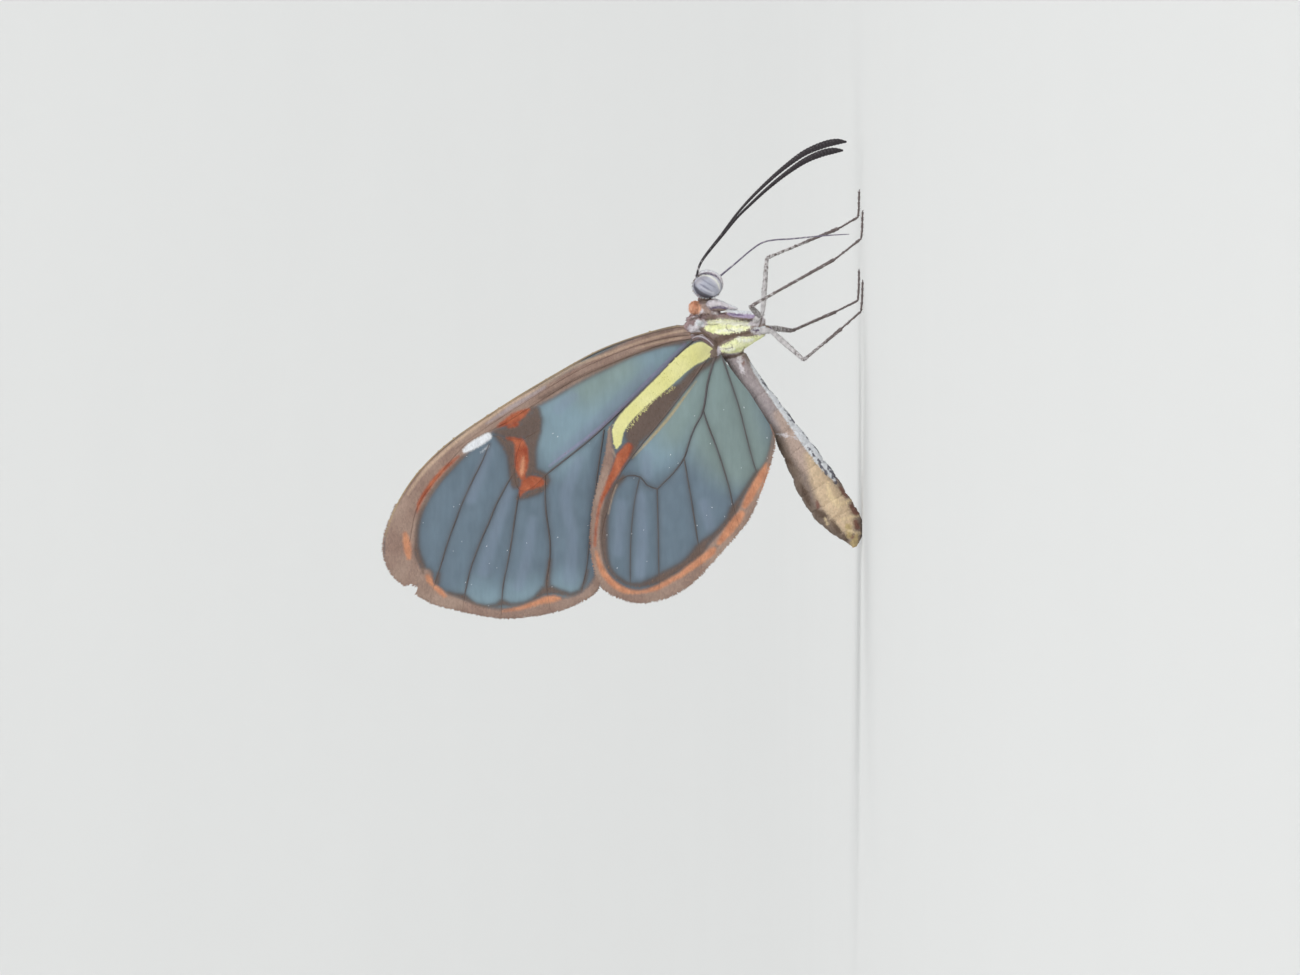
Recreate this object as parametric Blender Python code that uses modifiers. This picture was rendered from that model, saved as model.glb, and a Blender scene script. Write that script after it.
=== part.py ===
"""A clearwing butterfly at life size, standing on four legs with its wings closed over its back.

Head towards +X, back towards +Z, left side towards +Y. Sizes below are in millimetres
in the plane of the body unless a line says otherwise, and MM turns them into metres.
"""

import math

import bmesh
import bpy
from mathutils import Matrix, Vector
from mathutils.geometry import delaunay_2d_cdt

MM = 0.001

# Driving sizes
GAP = 0.25  # clearance between two parts that touch
SHEET = 0.50  # thickness of a wing's membrane
RIDGE = 0.10  # height of a vein above each face of the membrane
VEIN_HALF_WIDTH = 0.24
LIMB_RADIUS = 0.25  # thinnest leg, feeler or tongue
FOREWING_OFFSET = 0.50  # middle of a forewing from the body's middle plane
HINDWING_OFFSET = 1.33
WING_SPREAD = 0.015  # how far each wing leans out for each millimetre from its root
OUTLINE_STEP = 0.75
VEIN_STEP = 1.3
FILL_STEP = 2.4
SIDES = {"right": -1, "left": 1}

# Forewing: outline from the root along the front edge, tip, outer edge and hind edge, as (x, z)
FOREWING_ROOT = (2.75, 10.5)
FOREWING_COSTA = [
    (3.05, 10.6), (3.30, 11.3), (2.99, 13.0), (2.37, 15.0), (1.55, 17.0), (-0.13, 20.0), (-1.96, 23.0),
    (-4.0, 26.0), (-6.0, 28.08), (-8.0, 29.39), (-10.0, 30.12), (-11.3, 30.15), (-12.4, 29.65), (-13.12, 28.85),
]
FOREWING_NICK = [(-13.18, 28.02), (-13.63, 28.17)]  # a small tear in the outer edge
FOREWING_OUTER = [
    (-14.28, 26.94), (-14.85, 24.54), (-15.12, 22.67), (-14.96, 20.6), (-14.54, 18.8), (-13.66, 17.04),
    (-12.6, 16.35),
]
FOREWING_HIND = [(-10.0, 16.35), (-7.0, 15.9), (-4.5, 15.0), (-2.0, 13.6), (0.0, 12.1), (2.0, 10.6), (2.35, 10.2)]
FOREWING_VEINS = {
    "radius": [(2.75, 10.7), (2.4, 13.0), (1.75, 15.0), (0.0, 18.6), (-2.2, 22.2), (-4.6, 25.7), (-7.0, 27.95),
               (-9.2, 29.0), (-11.2, 29.1)],
    "cubitus": [(2.5, 10.7), (0.0, 13.1), (-2.1, 15.0), (-4.2, 17.3), (-6.35, 20.0)],
    "cell_end": [(-2.2, 22.2), (-3.9, 21.8), (-5.4, 21.9), (-6.7, 21.9), (-7.1, 21.0), (-6.35, 20.0)],
    "media_1": [(-3.4, 21.9), (-4.3, 23.2), (-5.9, 24.2), (-9.7, 25.9), (-14.3, 27.4)],
    "media_2": [(-6.0, 21.95), (-7.0, 22.7), (-9.7, 23.85), (-12.3, 24.75), (-15.0, 25.3)],
    "media_3": [(-6.9, 21.7), (-8.2, 21.8), (-12.2, 22.5), (-15.2, 22.8)],
    "cubital_1": [(-6.35, 20.0), (-9.5, 19.9), (-13.2, 19.7), (-15.0, 19.4)],
    "cubital_2": [(-3.3, 16.25), (-6.0, 17.0), (-10.0, 17.4), (-14.0, 17.6)],
}

# Hindwing: front edge, outer edge and inner edge, as (x, z)
HINDWING_ROOT = (1.55, 9.25)
HINDWING_COSTA = [
    (2.1, 9.8), (2.25, 10.6), (0.0, 13.0), (-2.0, 15.05), (-3.1, 15.9), (-5.0, 16.2), (-8.0, 16.9), (-10.2, 17.1),
    (-12.0, 16.87), (-13.15, 16.45), (-13.85, 15.4), (-14.15, 14.1), (-13.9, 12.5), (-13.0, 10.85), (-11.0, 8.95),
    (-9.0, 7.28), (-7.0, 6.4), (-5.0, 5.75), (-4.0, 5.58), (-3.0, 5.85),
]
HINDWING_INNER = [(-1.0, 7.1), (0.2, 8.05), (0.95, 8.6), (1.3, 8.8)]
HINDWING_VEINS = {
    "radial_sector": [(1.3, 9.7), (-1.0, 11.3), (-3.0, 12.9), (-5.0, 14.5), (-6.6, 15.5), (-9.0, 16.15), (-12.0, 15.9)],
    "cubitus": [(1.35, 9.3), (-2.1, 10.05), (-3.5, 10.7), (-5.05, 11.25), (-6.0, 12.0), (-7.05, 12.95)],
    "cell_end": [(-7.05, 12.95), (-6.4, 14.0), (-6.6, 15.5)],
    "media_2": [(-6.4, 14.0), (-9.0, 14.4), (-13.9, 14.7)],
    "media_3": [(-7.05, 12.95), (-10.0, 12.95), (-14.2, 12.7)],
    "cubital_1": [(-5.05, 11.25), (-7.5, 10.8), (-10.3, 10.3), (-12.6, 10.0)],
    "cubital_2": [(-2.1, 10.05), (-4.0, 9.4), (-6.0, 8.75), (-9.6, 7.6)],
    "anal": [(1.2, 8.85), (-2.0, 7.7), (-4.0, 7.2), (-6.2, 6.1)],
}

# Thorax: level slices as (z, rear x, front x, half width)
THORAX_SLICES = [
    (6.12, 2.70, 3.70, 0.50), (6.35, 2.50, 3.90, 0.68), (6.8, 2.25, 3.75, 0.84), (7.4, 1.85, 3.55, 1.00),
    (8.0, 1.45, 3.50, 1.15), (8.7, 1.15, 3.52, 1.24), (9.4, 1.00, 3.65, 1.22), (9.95, 1.05, 3.80, 1.08),
    (10.4, 1.35, 3.95, 0.84), (10.8, 1.85, 4.00, 0.56), (11.08, 2.60, 3.80, 0.30),
]
SLICE_POINTS = 20
PROTHORAX = {"centre": (4.22, 0.0, 9.95), "radii": (0.72, 0.78, 0.82)}
COLLAR_LOBE = {"centre": (4.42, 0.34, 10.55), "radii": (0.40, 0.40, 0.38)}
SHOULDER_PLATE = {"centre": (3.55, 0.80, 10.60), "radii": (0.36, 0.26, 0.52)}

# Abdomen: side-view sections as (lower x, lower z, upper x, upper z, half width)
ABDOMEN_SECTIONS = [
    (2.1, 7.6, 1.7, 8.7, 0.55), (1.0, 7.02, 0.5, 8.35, 0.70), (-0.4, 6.05, -1.0, 7.40, 0.74),
    (-2.3, 4.62, -2.95, 6.02, 0.76), (-4.2, 3.12, -5.05, 4.98, 0.86), (-6.1, 1.70, -7.2, 4.08, 1.00),
    (-7.7, 0.70, -8.8, 3.10, 1.05), (-8.9, 0.01, -9.85, 1.95, 0.85), (-9.9, -0.04, -10.45, 0.98, 0.48),
    (-10.62, 0.30, -10.78, 0.55, 0.14),
]
ABDOMEN_RINGS = 8  # segments that show
RINGS_PER_SEGMENT = 3
RING_DEPTH = 0.035  # share of the radius lost where two segments meet

# Head
SKULL = {"centre": (5.72, 0.0, 9.86), "radii": (0.72, 0.42, 0.88)}
BROW = {"centre": (6.12, 0.0, 10.18), "radii": (0.42, 0.46, 0.48)}
EYE = {"centre": (5.76, 0.55, 9.80), "radii": (0.73, 0.52, 0.90)}
PALP_PATH = [(6.00, 0.26, 9.25), (6.28, 0.28, 9.22), (6.48, 0.28, 9.62), (6.50, 0.25, 10.12), (6.40, 0.22, 10.50)]
PALP_RADII = [0.25, 0.26, 0.27, 0.25, 0.14]

# Feelers and tongue, as paths of (x, y, z) with a radius at each point; y is outwards from the middle
ANTENNA_PATHS = {
    "right": [(6.00, 0.22, 10.35), (6.45, 0.32, 10.42), (7.10, 0.55, 10.30), (7.75, 0.80, 9.92), (9.00, 1.25, 8.95),
              (10.20, 1.65, 8.02), (11.20, 1.95, 7.12), (12.20, 2.20, 6.05), (13.20, 2.40, 4.85), (14.10, 2.50, 3.55),
              (14.62, 2.52, 2.40), (14.80, 2.50, 1.60), (14.82, 2.48, 1.00)],
    "left": [(6.00, 0.22, 10.35), (6.45, 0.34, 10.42), (7.10, 0.60, 10.28), (7.75, 0.90, 9.88), (9.00, 1.45, 8.85),
             (10.15, 1.90, 7.88), (11.05, 2.25, 6.98), (12.00, 2.55, 5.92), (12.95, 2.78, 4.72), (13.78, 2.90, 3.48),
             (14.25, 2.92, 2.40), (14.42, 2.90, 1.70), (14.44, 2.88, 1.12)],
}
ANTENNA_RADII = [0.25, 0.25, 0.25, 0.25, 0.25, 0.25, 0.25, 0.25, 0.25, 0.26, 0.26, 0.22, 0.12]
TONGUE_PATH = [(6.10, 0.0, 9.28), (6.40, 0.0, 8.98), (7.20, 0.0, 8.02), (8.05, 0.0, 7.02), (8.52, 0.0, 6.30),
               (8.70, 0.0, 5.50), (8.76, 0.0, 4.50), (8.86, 0.0, 3.50), (8.98, 0.0, 2.20), (9.06, 0.0, 0.80)]
TONGUE_RADII = [0.25, 0.25, 0.25, 0.25, 0.25, 0.25, 0.25, 0.25, 0.24, 0.12]

# Legs, from inside the thorax to the claws, as (x, y outwards, z, radius)
LEGS = {
    "midleg_left": [(3.45, 0.42, 6.80, 0.27), (4.10, 0.90, 6.27, 0.27), (5.90, 2.05, 6.14, 0.28), (7.62, 3.20, 5.95, 0.25),
                    (8.35, 3.80, 4.25, 0.26), (9.15, 4.40, 2.35, 0.25), (9.72, 4.75, 1.05, 0.25),
                    (10.25, 4.98, 0.24, 0.25), (11.10, 5.25, 0.20, 0.25), (11.85, 5.48, 0.18, 0.18)],
    "midleg_right": [(3.45, 0.42, 6.80, 0.27), (3.90, 0.95, 6.52, 0.27), (4.15, 2.80, 6.86, 0.28), (4.38, 4.60, 7.02, 0.25),
                     (5.40, 4.92, 5.10, 0.26), (6.50, 5.20, 3.05, 0.25), (7.70, 5.42, 1.45, 0.25),
                     (8.65, 5.60, 0.24, 0.25), (9.50, 5.78, 0.20, 0.25), (10.25, 5.94, 0.18, 0.18)],
    "hindleg_left": [(2.95, 0.40, 6.75, 0.27), (3.15, 0.72, 5.82, 0.27), (3.22, 2.45, 5.15, 0.28), (3.02, 4.20, 4.35, 0.25),
                     (3.62, 4.75, 2.85, 0.26), (4.35, 5.15, 1.35, 0.25), (4.95, 5.35, 0.24, 0.25),
                     (5.90, 5.62, 0.20, 0.25), (6.85, 5.93, 0.18, 0.18)],
    "hindleg_right": [(2.95, 0.40, 6.75, 0.27), (2.95, 0.72, 5.78, 0.27), (2.02, 1.95, 4.78, 0.28), (1.08, 3.20, 3.66, 0.25),
                      (2.05, 4.05, 2.28, 0.26), (3.22, 4.90, 1.12, 0.25), (4.10, 5.30, 0.24, 0.25),
                      (5.05, 5.62, 0.20, 0.25), (5.95, 5.93, 0.18, 0.18)],
}
FORELEG_UPPER = [(4.50, 0.42, 9.50, 0.25), (4.56, 0.44, 8.90, 0.26), (4.42, 0.44, 8.05, 0.15)]
FORELEG_LOWER = [(4.22, 0.42, 8.95, 0.20), (4.12, 0.42, 8.40, 0.27), (4.02, 0.42, 7.50, 0.26), (3.98, 0.42, 6.98, 0.14)]

COLOURS = {
    "wing_clear": ((0.16, 0.20, 0.24, 1), 0.35),
    "thorax_scales": ((0.62, 0.62, 0.22, 1), 0.70),
    "abdomen_scales": ((0.38, 0.26, 0.18, 1), 0.65),
    "head_scales": ((0.30, 0.25, 0.23, 1), 0.70),
    "eye": ((0.34, 0.34, 0.40, 1), 0.25),
    "leg": ((0.34, 0.30, 0.27, 1), 0.60),
    "feeler": ((0.05, 0.04, 0.05, 1), 0.50),
}


def clear_scene():
    for old in list(bpy.data.objects):
        bpy.data.objects.remove(old)


def finish(name):
    """The material of that name, made once."""
    material = bpy.data.materials.get(name)
    if material is None:
        colour, roughness = COLOURS[name]
        material = bpy.data.materials.new(name)
        material.use_nodes = True
        shader = material.node_tree.nodes["Principled BSDF"]
        shader.inputs["Base Color"].default_value = colour
        shader.inputs["Roughness"].default_value = roughness
        shader.inputs["Metallic"].default_value = 0.0
    return material


def add_object(name, mesh, collection):
    made = bpy.data.objects.new(name, mesh)
    collection.objects.link(made)
    return made


def from_bmesh(name, bm, collection):
    bmesh.ops.recalc_face_normals(bm, faces=bm.faces)
    mesh = bpy.data.meshes.new(name)
    bm.to_mesh(mesh)
    bm.free()
    return add_object(name, mesh, collection)


def smooth_line(points, step):
    """Points about one step apart along a Catmull-Rom curve through the given points."""
    knots = [Vector(p) for p in points]
    knots = [2 * knots[0] - knots[1]] + knots + [2 * knots[-1] - knots[-2]]
    line = []
    for a, b, c, d in zip(knots, knots[1:], knots[2:], knots[3:]):
        spans = max(1, round((c - b).length / step))
        for i in range(spans):
            t = i / spans
            line.append(0.5 * (2 * b + (c - a) * t + (2 * a - 5 * b + 4 * c - d) * t**2
                               + (3 * b - 3 * c + d - a) * t**3))
    return line + [knots[-2]]


def mirrored(points, side):
    """Paths are written with y outwards; this puts them on the right (-1) or left (+1) side."""
    return [Vector((p[0], p[1] * side, p[2])) for p in points]


def evaluated_mesh(obj):
    """The object's shape with its modifiers, as a new mesh with its ends welded."""
    bpy.context.view_layer.update()
    graph = bpy.context.evaluated_depsgraph_get()
    mesh = bpy.data.meshes.new_from_object(obj.evaluated_get(graph))
    bm = bmesh.new()
    bm.from_mesh(mesh)
    bmesh.ops.remove_doubles(bm, verts=bm.verts, dist=0.002 * MM)
    bm.to_mesh(mesh)
    bm.free()
    return mesh


def bake_modifiers(obj):
    mesh = evaluated_mesh(obj)
    obj.modifiers.clear()
    obj.data = mesh


def keep_largest(obj):
    """Leaves only the largest closed surface of the mesh."""
    bm = bmesh.new()
    bm.from_mesh(obj.data)
    islands, unseen = [], set(bm.verts)
    while unseen:
        island, edge = set(), [unseen.pop()]
        while edge:
            vert = edge.pop()
            island.add(vert)
            near = {e.other_vert(vert) for e in vert.link_edges} & unseen
            unseen -= near
            edge.extend(near)
        islands.append(island)
    largest = max(islands, key=lambda island: sum(f.calc_area() for v in island for f in v.link_faces))
    loose = [v for island in islands if island is not largest for v in island]
    bmesh.ops.delete(bm, geom=loose, context="VERTS")
    bm.to_mesh(obj.data)
    bm.free()


def fuse(name, pieces):
    """Closed pieces that overlap become one closed body."""
    body = pieces[0]
    body.name = name
    others = bpy.data.collections.new(name + "_pieces")
    bpy.context.scene.collection.children.link(others)
    for piece in pieces[1:]:
        others.objects.link(piece)
    union = body.modifiers.new("union", "BOOLEAN")
    union.operation = "UNION"
    union.solver = "MANIFOLD"
    union.operand_type = "COLLECTION"
    union.collection = others
    bake_modifiers(body)
    for piece in pieces[1:]:
        bpy.data.objects.remove(piece)
    bpy.data.collections.remove(others)
    keep_largest(body)
    return body


def trim(obj, *cutters):
    """Takes each cutter out of the object."""
    for cutter in cutters:
        cut = obj.modifiers.new("cut", "BOOLEAN")
        cut.operation = "DIFFERENCE"
        cut.solver = "MANIFOLD"
        cut.object = cutter
        bake_modifiers(obj)
    keep_largest(obj)


def ball(shape, side, grow, collection, segments=20, rings=12):
    """An ellipsoid from its centre and radii, on the given side, made larger all round by grow."""
    bm = bmesh.new()
    bmesh.ops.create_uvsphere(bm, u_segments=segments, v_segments=rings, radius=1.0)
    radii = [(r + grow) * MM for r in shape["radii"]]
    x, y, z = shape["centre"]
    place = Matrix.Translation(Vector((x, y * side, z)) * MM)
    bmesh.ops.transform(bm, matrix=place @ Matrix.Diagonal((*radii, 1.0)), verts=bm.verts)
    return from_bmesh("ball", bm, collection)


def loft(rings, collection):
    """A closed body through rings of equally many points, with a flat cap at each end."""
    bm = bmesh.new()
    loops = [[bm.verts.new(p * MM) for p in ring] for ring in rings]
    for lower, upper in zip(loops, loops[1:]):
        for i in range(len(lower)):
            j = (i + 1) % len(lower)
            bm.faces.new((lower[i], lower[j], upper[j], upper[i]))
    bm.faces.new(loops[0])
    bm.faces.new(loops[-1])
    return from_bmesh("loft", bm, collection)


def limb(path, radii, step, collection):
    """A tapering tube along a smooth path, with filled ends."""
    knots = [Vector((*p, r)) for p, r in zip(path, radii)]
    line = smooth_line(knots, step)
    curve = bpy.data.curves.new("limb", "CURVE")
    curve.dimensions = "3D"
    curve.bevel_depth = 1.0 * MM
    curve.bevel_resolution = 2
    curve.use_fill_caps = True
    spline = curve.splines.new("POLY")
    spline.points.add(len(line) - 1)
    for point, place in zip(spline.points, line):
        point.co = (place[0] * MM, place[1] * MM, place[2] * MM, 1.0)
        point.radius = max(place[3], 0.05)
    tube = add_object("limb_curve", curve, collection)
    made = add_object("limb", evaluated_mesh(tube), collection)
    bpy.data.objects.remove(tube)
    return made


def wing_outline(parts):
    """The closed outline of a wing: smooth stretches joined at their corners."""
    outline = []
    for points, is_smooth in parts:
        outline += smooth_line(points, OUTLINE_STEP) if is_smooth else [Vector(p) for p in points]
    return [p for p, q in zip(outline, outline[1:] + outline[:1]) if (p - q).length > 0.05]


def distance_to_lines(point, lines):
    nearest = math.inf
    for line in lines:
        for a, b in zip(line, line[1:]):
            t = max(0.0, min(1.0, (point - a).dot(b - a) / (b - a).length_squared))
            nearest = min(nearest, (point - a.lerp(b, t)).length)
    return nearest


def vein_rows(line):
    """A vein's crest and the two feet of its ridge, as three rows of points."""
    rows = [[], list(line), []]
    for i, point in enumerate(line):
        along = line[min(i + 1, len(line) - 1)] - line[max(i - 1, 0)]
        across = Vector((-along.y, along.x)).normalized() * VEIN_HALF_WIDTH
        rows[0].append(point + across)
        rows[2].append(point - across)
    return rows


def hump(point, centre, width):
    """1 at the centre, falling off smoothly over about one width."""
    return math.exp(-((point - Vector(centre)).length / width) ** 2)


def forewing_depth(point):
    """How far the middle of the forewing is from the body's middle plane."""
    r = (point - Vector(FOREWING_ROOT)).length
    return FOREWING_OFFSET + 0.45 * hump(point, FOREWING_ROOT, 1.3) + WING_SPREAD * r


def hindwing_depth(point):
    r = (point - Vector(HINDWING_ROOT)).length
    over_forewing = 0.32 * hump(point, (1.7, 10.9), 1.5)
    into_body = 0.50 * hump(point, HINDWING_ROOT, 0.75)
    return HINDWING_OFFSET + over_forewing - into_body + WING_SPREAD * r


def wing(name, outline, veins, depth, side, collection):
    """A thin curved plate with its veins raised on both faces."""
    lines = [smooth_line(points, VEIN_STEP) for points in veins.values()]
    points, edges = list(outline), []
    for line in lines:
        for row in vein_rows(line):
            edges += [(len(points) + i, len(points) + i + 1) for i in range(len(row) - 1)]
            points += row
    rim = list(zip(outline, outline[1:] + outline[:1]))
    low_x, high_x = min(p.x for p in outline), max(p.x for p in outline)
    low_z, high_z = min(p.y for p in outline), max(p.y for p in outline)
    for i in range(round((high_x - low_x) / FILL_STEP) + 1):
        for j in range(round((high_z - low_z) / FILL_STEP) + 1):
            filler = Vector((low_x + (i + 0.5 * (j % 2)) * FILL_STEP, low_z + j * FILL_STEP))
            if distance_to_lines(filler, lines + [list(pair) for pair in rim]) > 0.4 * FILL_STEP:
                points.append(filler)
    flat, _, faces, *_ = delaunay_2d_cdt(points, edges, [list(range(len(outline)))], 1, 0.02)
    bm = bmesh.new()
    verts = [bm.verts.new(Vector((p.x, depth(p) * side, p.y)) * MM) for p in flat]
    for face in faces:
        bm.faces.new([verts[i] for i in face])
    bmesh.ops.delete(bm, geom=[v for v in bm.verts if not v.link_faces], context="VERTS")
    sheet = from_bmesh(name, bm, collection)
    ridges = sheet.vertex_groups.new(name="ridges")
    for vert in sheet.data.vertices:
        crest = 1.0 - distance_to_lines(Vector((vert.co.x, vert.co.z)) / MM, lines) / VEIN_HALF_WIDTH
        ridges.add([vert.index], max(0.0, crest), "REPLACE")
    plate = sheet.modifiers.new("plate", "SOLIDIFY")
    plate.thickness = (SHEET + 2 * RIDGE) * MM
    plate.offset = 0.0
    plate.vertex_group = "ridges"
    plate.thickness_vertex_group = SHEET / (SHEET + 2 * RIDGE)
    bake_modifiers(sheet)
    sheet.vertex_groups.clear()
    return sheet


def thorax_pieces(grow, collection):
    """The thorax's overlapping masses: the wing-bearing block, the neck segment, collar lobes and shoulder plates."""
    rings = []
    last = len(THORAX_SLICES) - 1
    for i, (z, rear, front, half_width) in enumerate(THORAX_SLICES):
        level = z + grow * ((i == last) - (i == 0))
        ring = []
        for k in range(SLICE_POINTS):
            turn = 2 * math.pi * k / SLICE_POINTS
            x = (rear + front) / 2 + ((front - rear) / 2 + grow) * math.cos(turn)
            ring.append(Vector((x, (half_width + grow) * math.sin(turn), level)))
        rings.append(ring)
    pieces = [loft(rings, collection), ball(PROTHORAX, 1, grow, collection)]
    for side in SIDES.values():
        pieces.append(ball(COLLAR_LOBE, side, grow, collection, 12, 8))
        pieces.append(ball(SHOULDER_PLATE, side, grow, collection, 12, 8))
    return pieces


def head_pieces(grow, collection):
    pieces = [ball(SKULL, 1, grow, collection), ball(BROW, 1, grow, collection, 14, 8)]
    for side in SIDES.values():
        radii = [r + grow for r in PALP_RADII]
        pieces.append(limb(mirrored(PALP_PATH, side), radii, 0.35, collection))
    return pieces


def abdomen(collection):
    """Oval rings swept from the thorax to the tip, drawn in where two segments meet."""
    ends = [Vector(section[:4]) for section in ABDOMEN_SECTIONS]
    widths = [Vector((section[4], 0.0)) for section in ABDOMEN_SECTIONS]
    count = ABDOMEN_RINGS * RINGS_PER_SEGMENT
    sides = SLICE_POINTS - 4
    rings = []
    for i in range(count + 1):
        t = i / count * (len(ends) - 1)
        low_x, low_z, high_x, high_z = catmull(ends, t)
        share = 1.0 - RING_DEPTH * (i % RINGS_PER_SEGMENT == 0)
        low, high = Vector((low_x, 0.0, low_z)), Vector((high_x, 0.0, high_z))
        across = Vector((0.0, catmull(widths, t)[0] * share, 0.0))
        middle, up = (low + high) / 2, (high - low) / 2 * share
        turns = [2 * math.pi * k / sides for k in range(sides)]
        rings.append([middle + up * math.cos(turn) + across * math.sin(turn) for turn in turns])
    return loft(rings, collection)


def catmull(knots, t):
    """The point at t knots along the smooth curve through the knots."""
    i = min(int(t), len(knots) - 2)
    t -= i
    b, c = knots[i], knots[i + 1]
    a = knots[i - 1] if i else 2 * b - c
    d = knots[i + 2] if i + 2 < len(knots) else 2 * c - b
    return 0.5 * (2 * b + (c - a) * t + (2 * a - 5 * b + 4 * c - d) * t**2 + (3 * b - 3 * c + d - a) * t**3)


def floor_block(collection):
    """Everything below the level that the feet stand on."""
    bm = bmesh.new()
    bmesh.ops.create_cube(bm, size=1.0)
    place = Matrix.Translation(Vector((0.0, 0.0, -2.0)) * MM)
    bmesh.ops.transform(bm, matrix=place @ Matrix.Diagonal((60 * MM, 40 * MM, 4 * MM, 1.0)), verts=bm.verts)
    return from_bmesh("below_floor", bm, collection)


def paint(obj, material, smooth=True):
    obj.data.materials.clear()
    obj.data.materials.append(finish(material))
    if smooth:
        obj.data.shade_smooth()
        obj.data.set_sharp_from_angle(angle=math.radians(40))


def main():
    clear_scene()
    parts = bpy.data.collections.new("clearwing_butterfly")
    bpy.context.scene.collection.children.link(parts)
    cutters = bpy.data.collections.new("cutters")
    bpy.context.scene.collection.children.link(cutters)
    below = floor_block(cutters)
    thorax_zone = fuse("thorax_zone", thorax_pieces(GAP, cutters))
    head_zone = fuse("head_zone", head_pieces(GAP, cutters))

    thorax = fuse("thorax", thorax_pieces(0.0, parts))
    paint(thorax, "thorax_scales")

    head = fuse("head", head_pieces(0.0, parts))
    trim(head, thorax_zone)
    paint(head, "head_scales")

    belly = abdomen(parts)
    belly.name = "abdomen"
    trim(belly, thorax_zone, below)
    paint(belly, "abdomen_scales")

    tongue = limb(TONGUE_PATH, TONGUE_RADII, 0.9, parts)
    tongue.name = "proboscis"
    trim(tongue, head_zone)
    paint(tongue, "feeler")

    fore = wing_outline([(FOREWING_COSTA, True), (FOREWING_NICK, False), (FOREWING_OUTER, True), (FOREWING_HIND, True)])
    hind = wing_outline([(HINDWING_COSTA, True), (HINDWING_INNER, True)])
    for word, side in SIDES.items():
        eye = ball(EYE, side, 0.0, parts)
        eye.name = f"eye_{word}"
        trim(eye, head_zone, thorax_zone)
        paint(eye, "eye")

        antenna = limb(mirrored(ANTENNA_PATHS[word], side), ANTENNA_RADII, 0.9, parts)
        antenna.name = f"antenna_{word}"
        trim(antenna, head_zone, ball(EYE, side, GAP, cutters))
        paint(antenna, "feeler")

        for name, outline, veins, depth in (
            (f"forewing_{word}", fore, FOREWING_VEINS, forewing_depth),
            (f"hindwing_{word}", hind, HINDWING_VEINS, hindwing_depth),
        ):
            plate = wing(name, outline, veins, depth, side, parts)
            trim(plate, thorax_zone)
            paint(plate, "wing_clear", smooth=False)

        for pair in ("midleg", "hindleg"):
            name = f"{pair}_{word}"
            leg = limb(mirrored([p[:3] for p in LEGS[name]], side), [p[3] for p in LEGS[name]], 1.0, parts)
            leg.name = name
            trim(leg, thorax_zone, below)
            paint(leg, "leg")

        halves = [
            limb(mirrored([p[:3] for p in half], side), [p[3] for p in half], 0.5, parts)
            for half in (FORELEG_UPPER, FORELEG_LOWER)
        ]
        foreleg = fuse(f"foreleg_{word}", halves)
        trim(foreleg, thorax_zone, head_zone)
        paint(foreleg, "leg")

    for cutter in list(cutters.objects):
        bpy.data.objects.remove(cutter)
    bpy.data.collections.remove(cutters)


main()
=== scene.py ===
"""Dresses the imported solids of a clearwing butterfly: thin veined wings, scaled body, eyes, feelers and legs.

Head towards +X, left side towards +Y, up +Z. Pieces are modelled in millimetres and brought to life size last.
"""

import math

import bmesh
import bpy
import numpy as np
from bpy.props import FloatProperty, FloatVectorProperty, IntProperty, PointerProperty
from mathutils import Matrix, Vector


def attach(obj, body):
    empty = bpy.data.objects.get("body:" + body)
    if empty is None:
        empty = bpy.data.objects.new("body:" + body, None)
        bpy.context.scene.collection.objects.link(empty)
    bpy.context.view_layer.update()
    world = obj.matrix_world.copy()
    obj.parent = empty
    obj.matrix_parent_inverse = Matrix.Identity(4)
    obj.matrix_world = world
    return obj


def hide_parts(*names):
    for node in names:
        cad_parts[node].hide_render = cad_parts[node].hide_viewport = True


bl_info = {
    "name": "Clearwing Butterfly",
    "version": (1, 0, 0),
    "blender": (4, 5, 0),
    "location": "View3D > Sidebar > Butterfly",
    "description": "Builds a resting clearwing butterfly with veined wings and a scaled body",
    "category": "Object",
}

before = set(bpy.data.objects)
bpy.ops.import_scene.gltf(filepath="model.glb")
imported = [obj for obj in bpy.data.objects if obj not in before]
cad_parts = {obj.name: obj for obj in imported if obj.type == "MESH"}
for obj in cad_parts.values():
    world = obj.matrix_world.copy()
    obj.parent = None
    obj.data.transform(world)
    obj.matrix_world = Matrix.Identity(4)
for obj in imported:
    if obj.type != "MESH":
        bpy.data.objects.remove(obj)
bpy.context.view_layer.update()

MM = 0.001
BODY = "root"
SIDES = {"right": -1, "left": 1}

# Where the camera stands, in millimetres
CAMERA_AIM = (-6.95, 0.0, 13.4)
CAMERA_DISTANCE = 700.0
FRAME_WIDTH = 82.16
SENSOR_WIDTH = 36.0

# Wing outlines as (x, z), the same stretches as in the solids
FOREWING_ROOT = (2.75, 10.5)
FOREWING_COSTA = [
    (3.05, 10.6), (3.30, 11.3), (2.99, 13.0), (2.37, 15.0), (1.55, 17.0), (-0.13, 20.0), (-1.96, 23.0),
    (-4.0, 26.0), (-6.0, 28.08), (-8.0, 29.39), (-10.0, 30.12), (-11.3, 30.15), (-12.4, 29.65), (-13.12, 28.85),
]
FOREWING_NICK = [(-13.03, 28.5), (-13.2, 28.04), (-13.63, 28.17)]
FOREWING_OUTER = [
    (-14.28, 26.94), (-14.85, 24.54), (-15.12, 22.67), (-14.96, 20.6), (-14.54, 18.8), (-13.66, 17.04),
    (-12.6, 16.35),
]
FOREWING_HIND = [(-10.0, 16.35), (-7.0, 15.9), (-4.5, 15.0), (-2.0, 13.6), (0.0, 12.1), (2.0, 10.6), (2.35, 10.2)]
HINDWING_ROOT = (1.55, 9.25)
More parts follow.
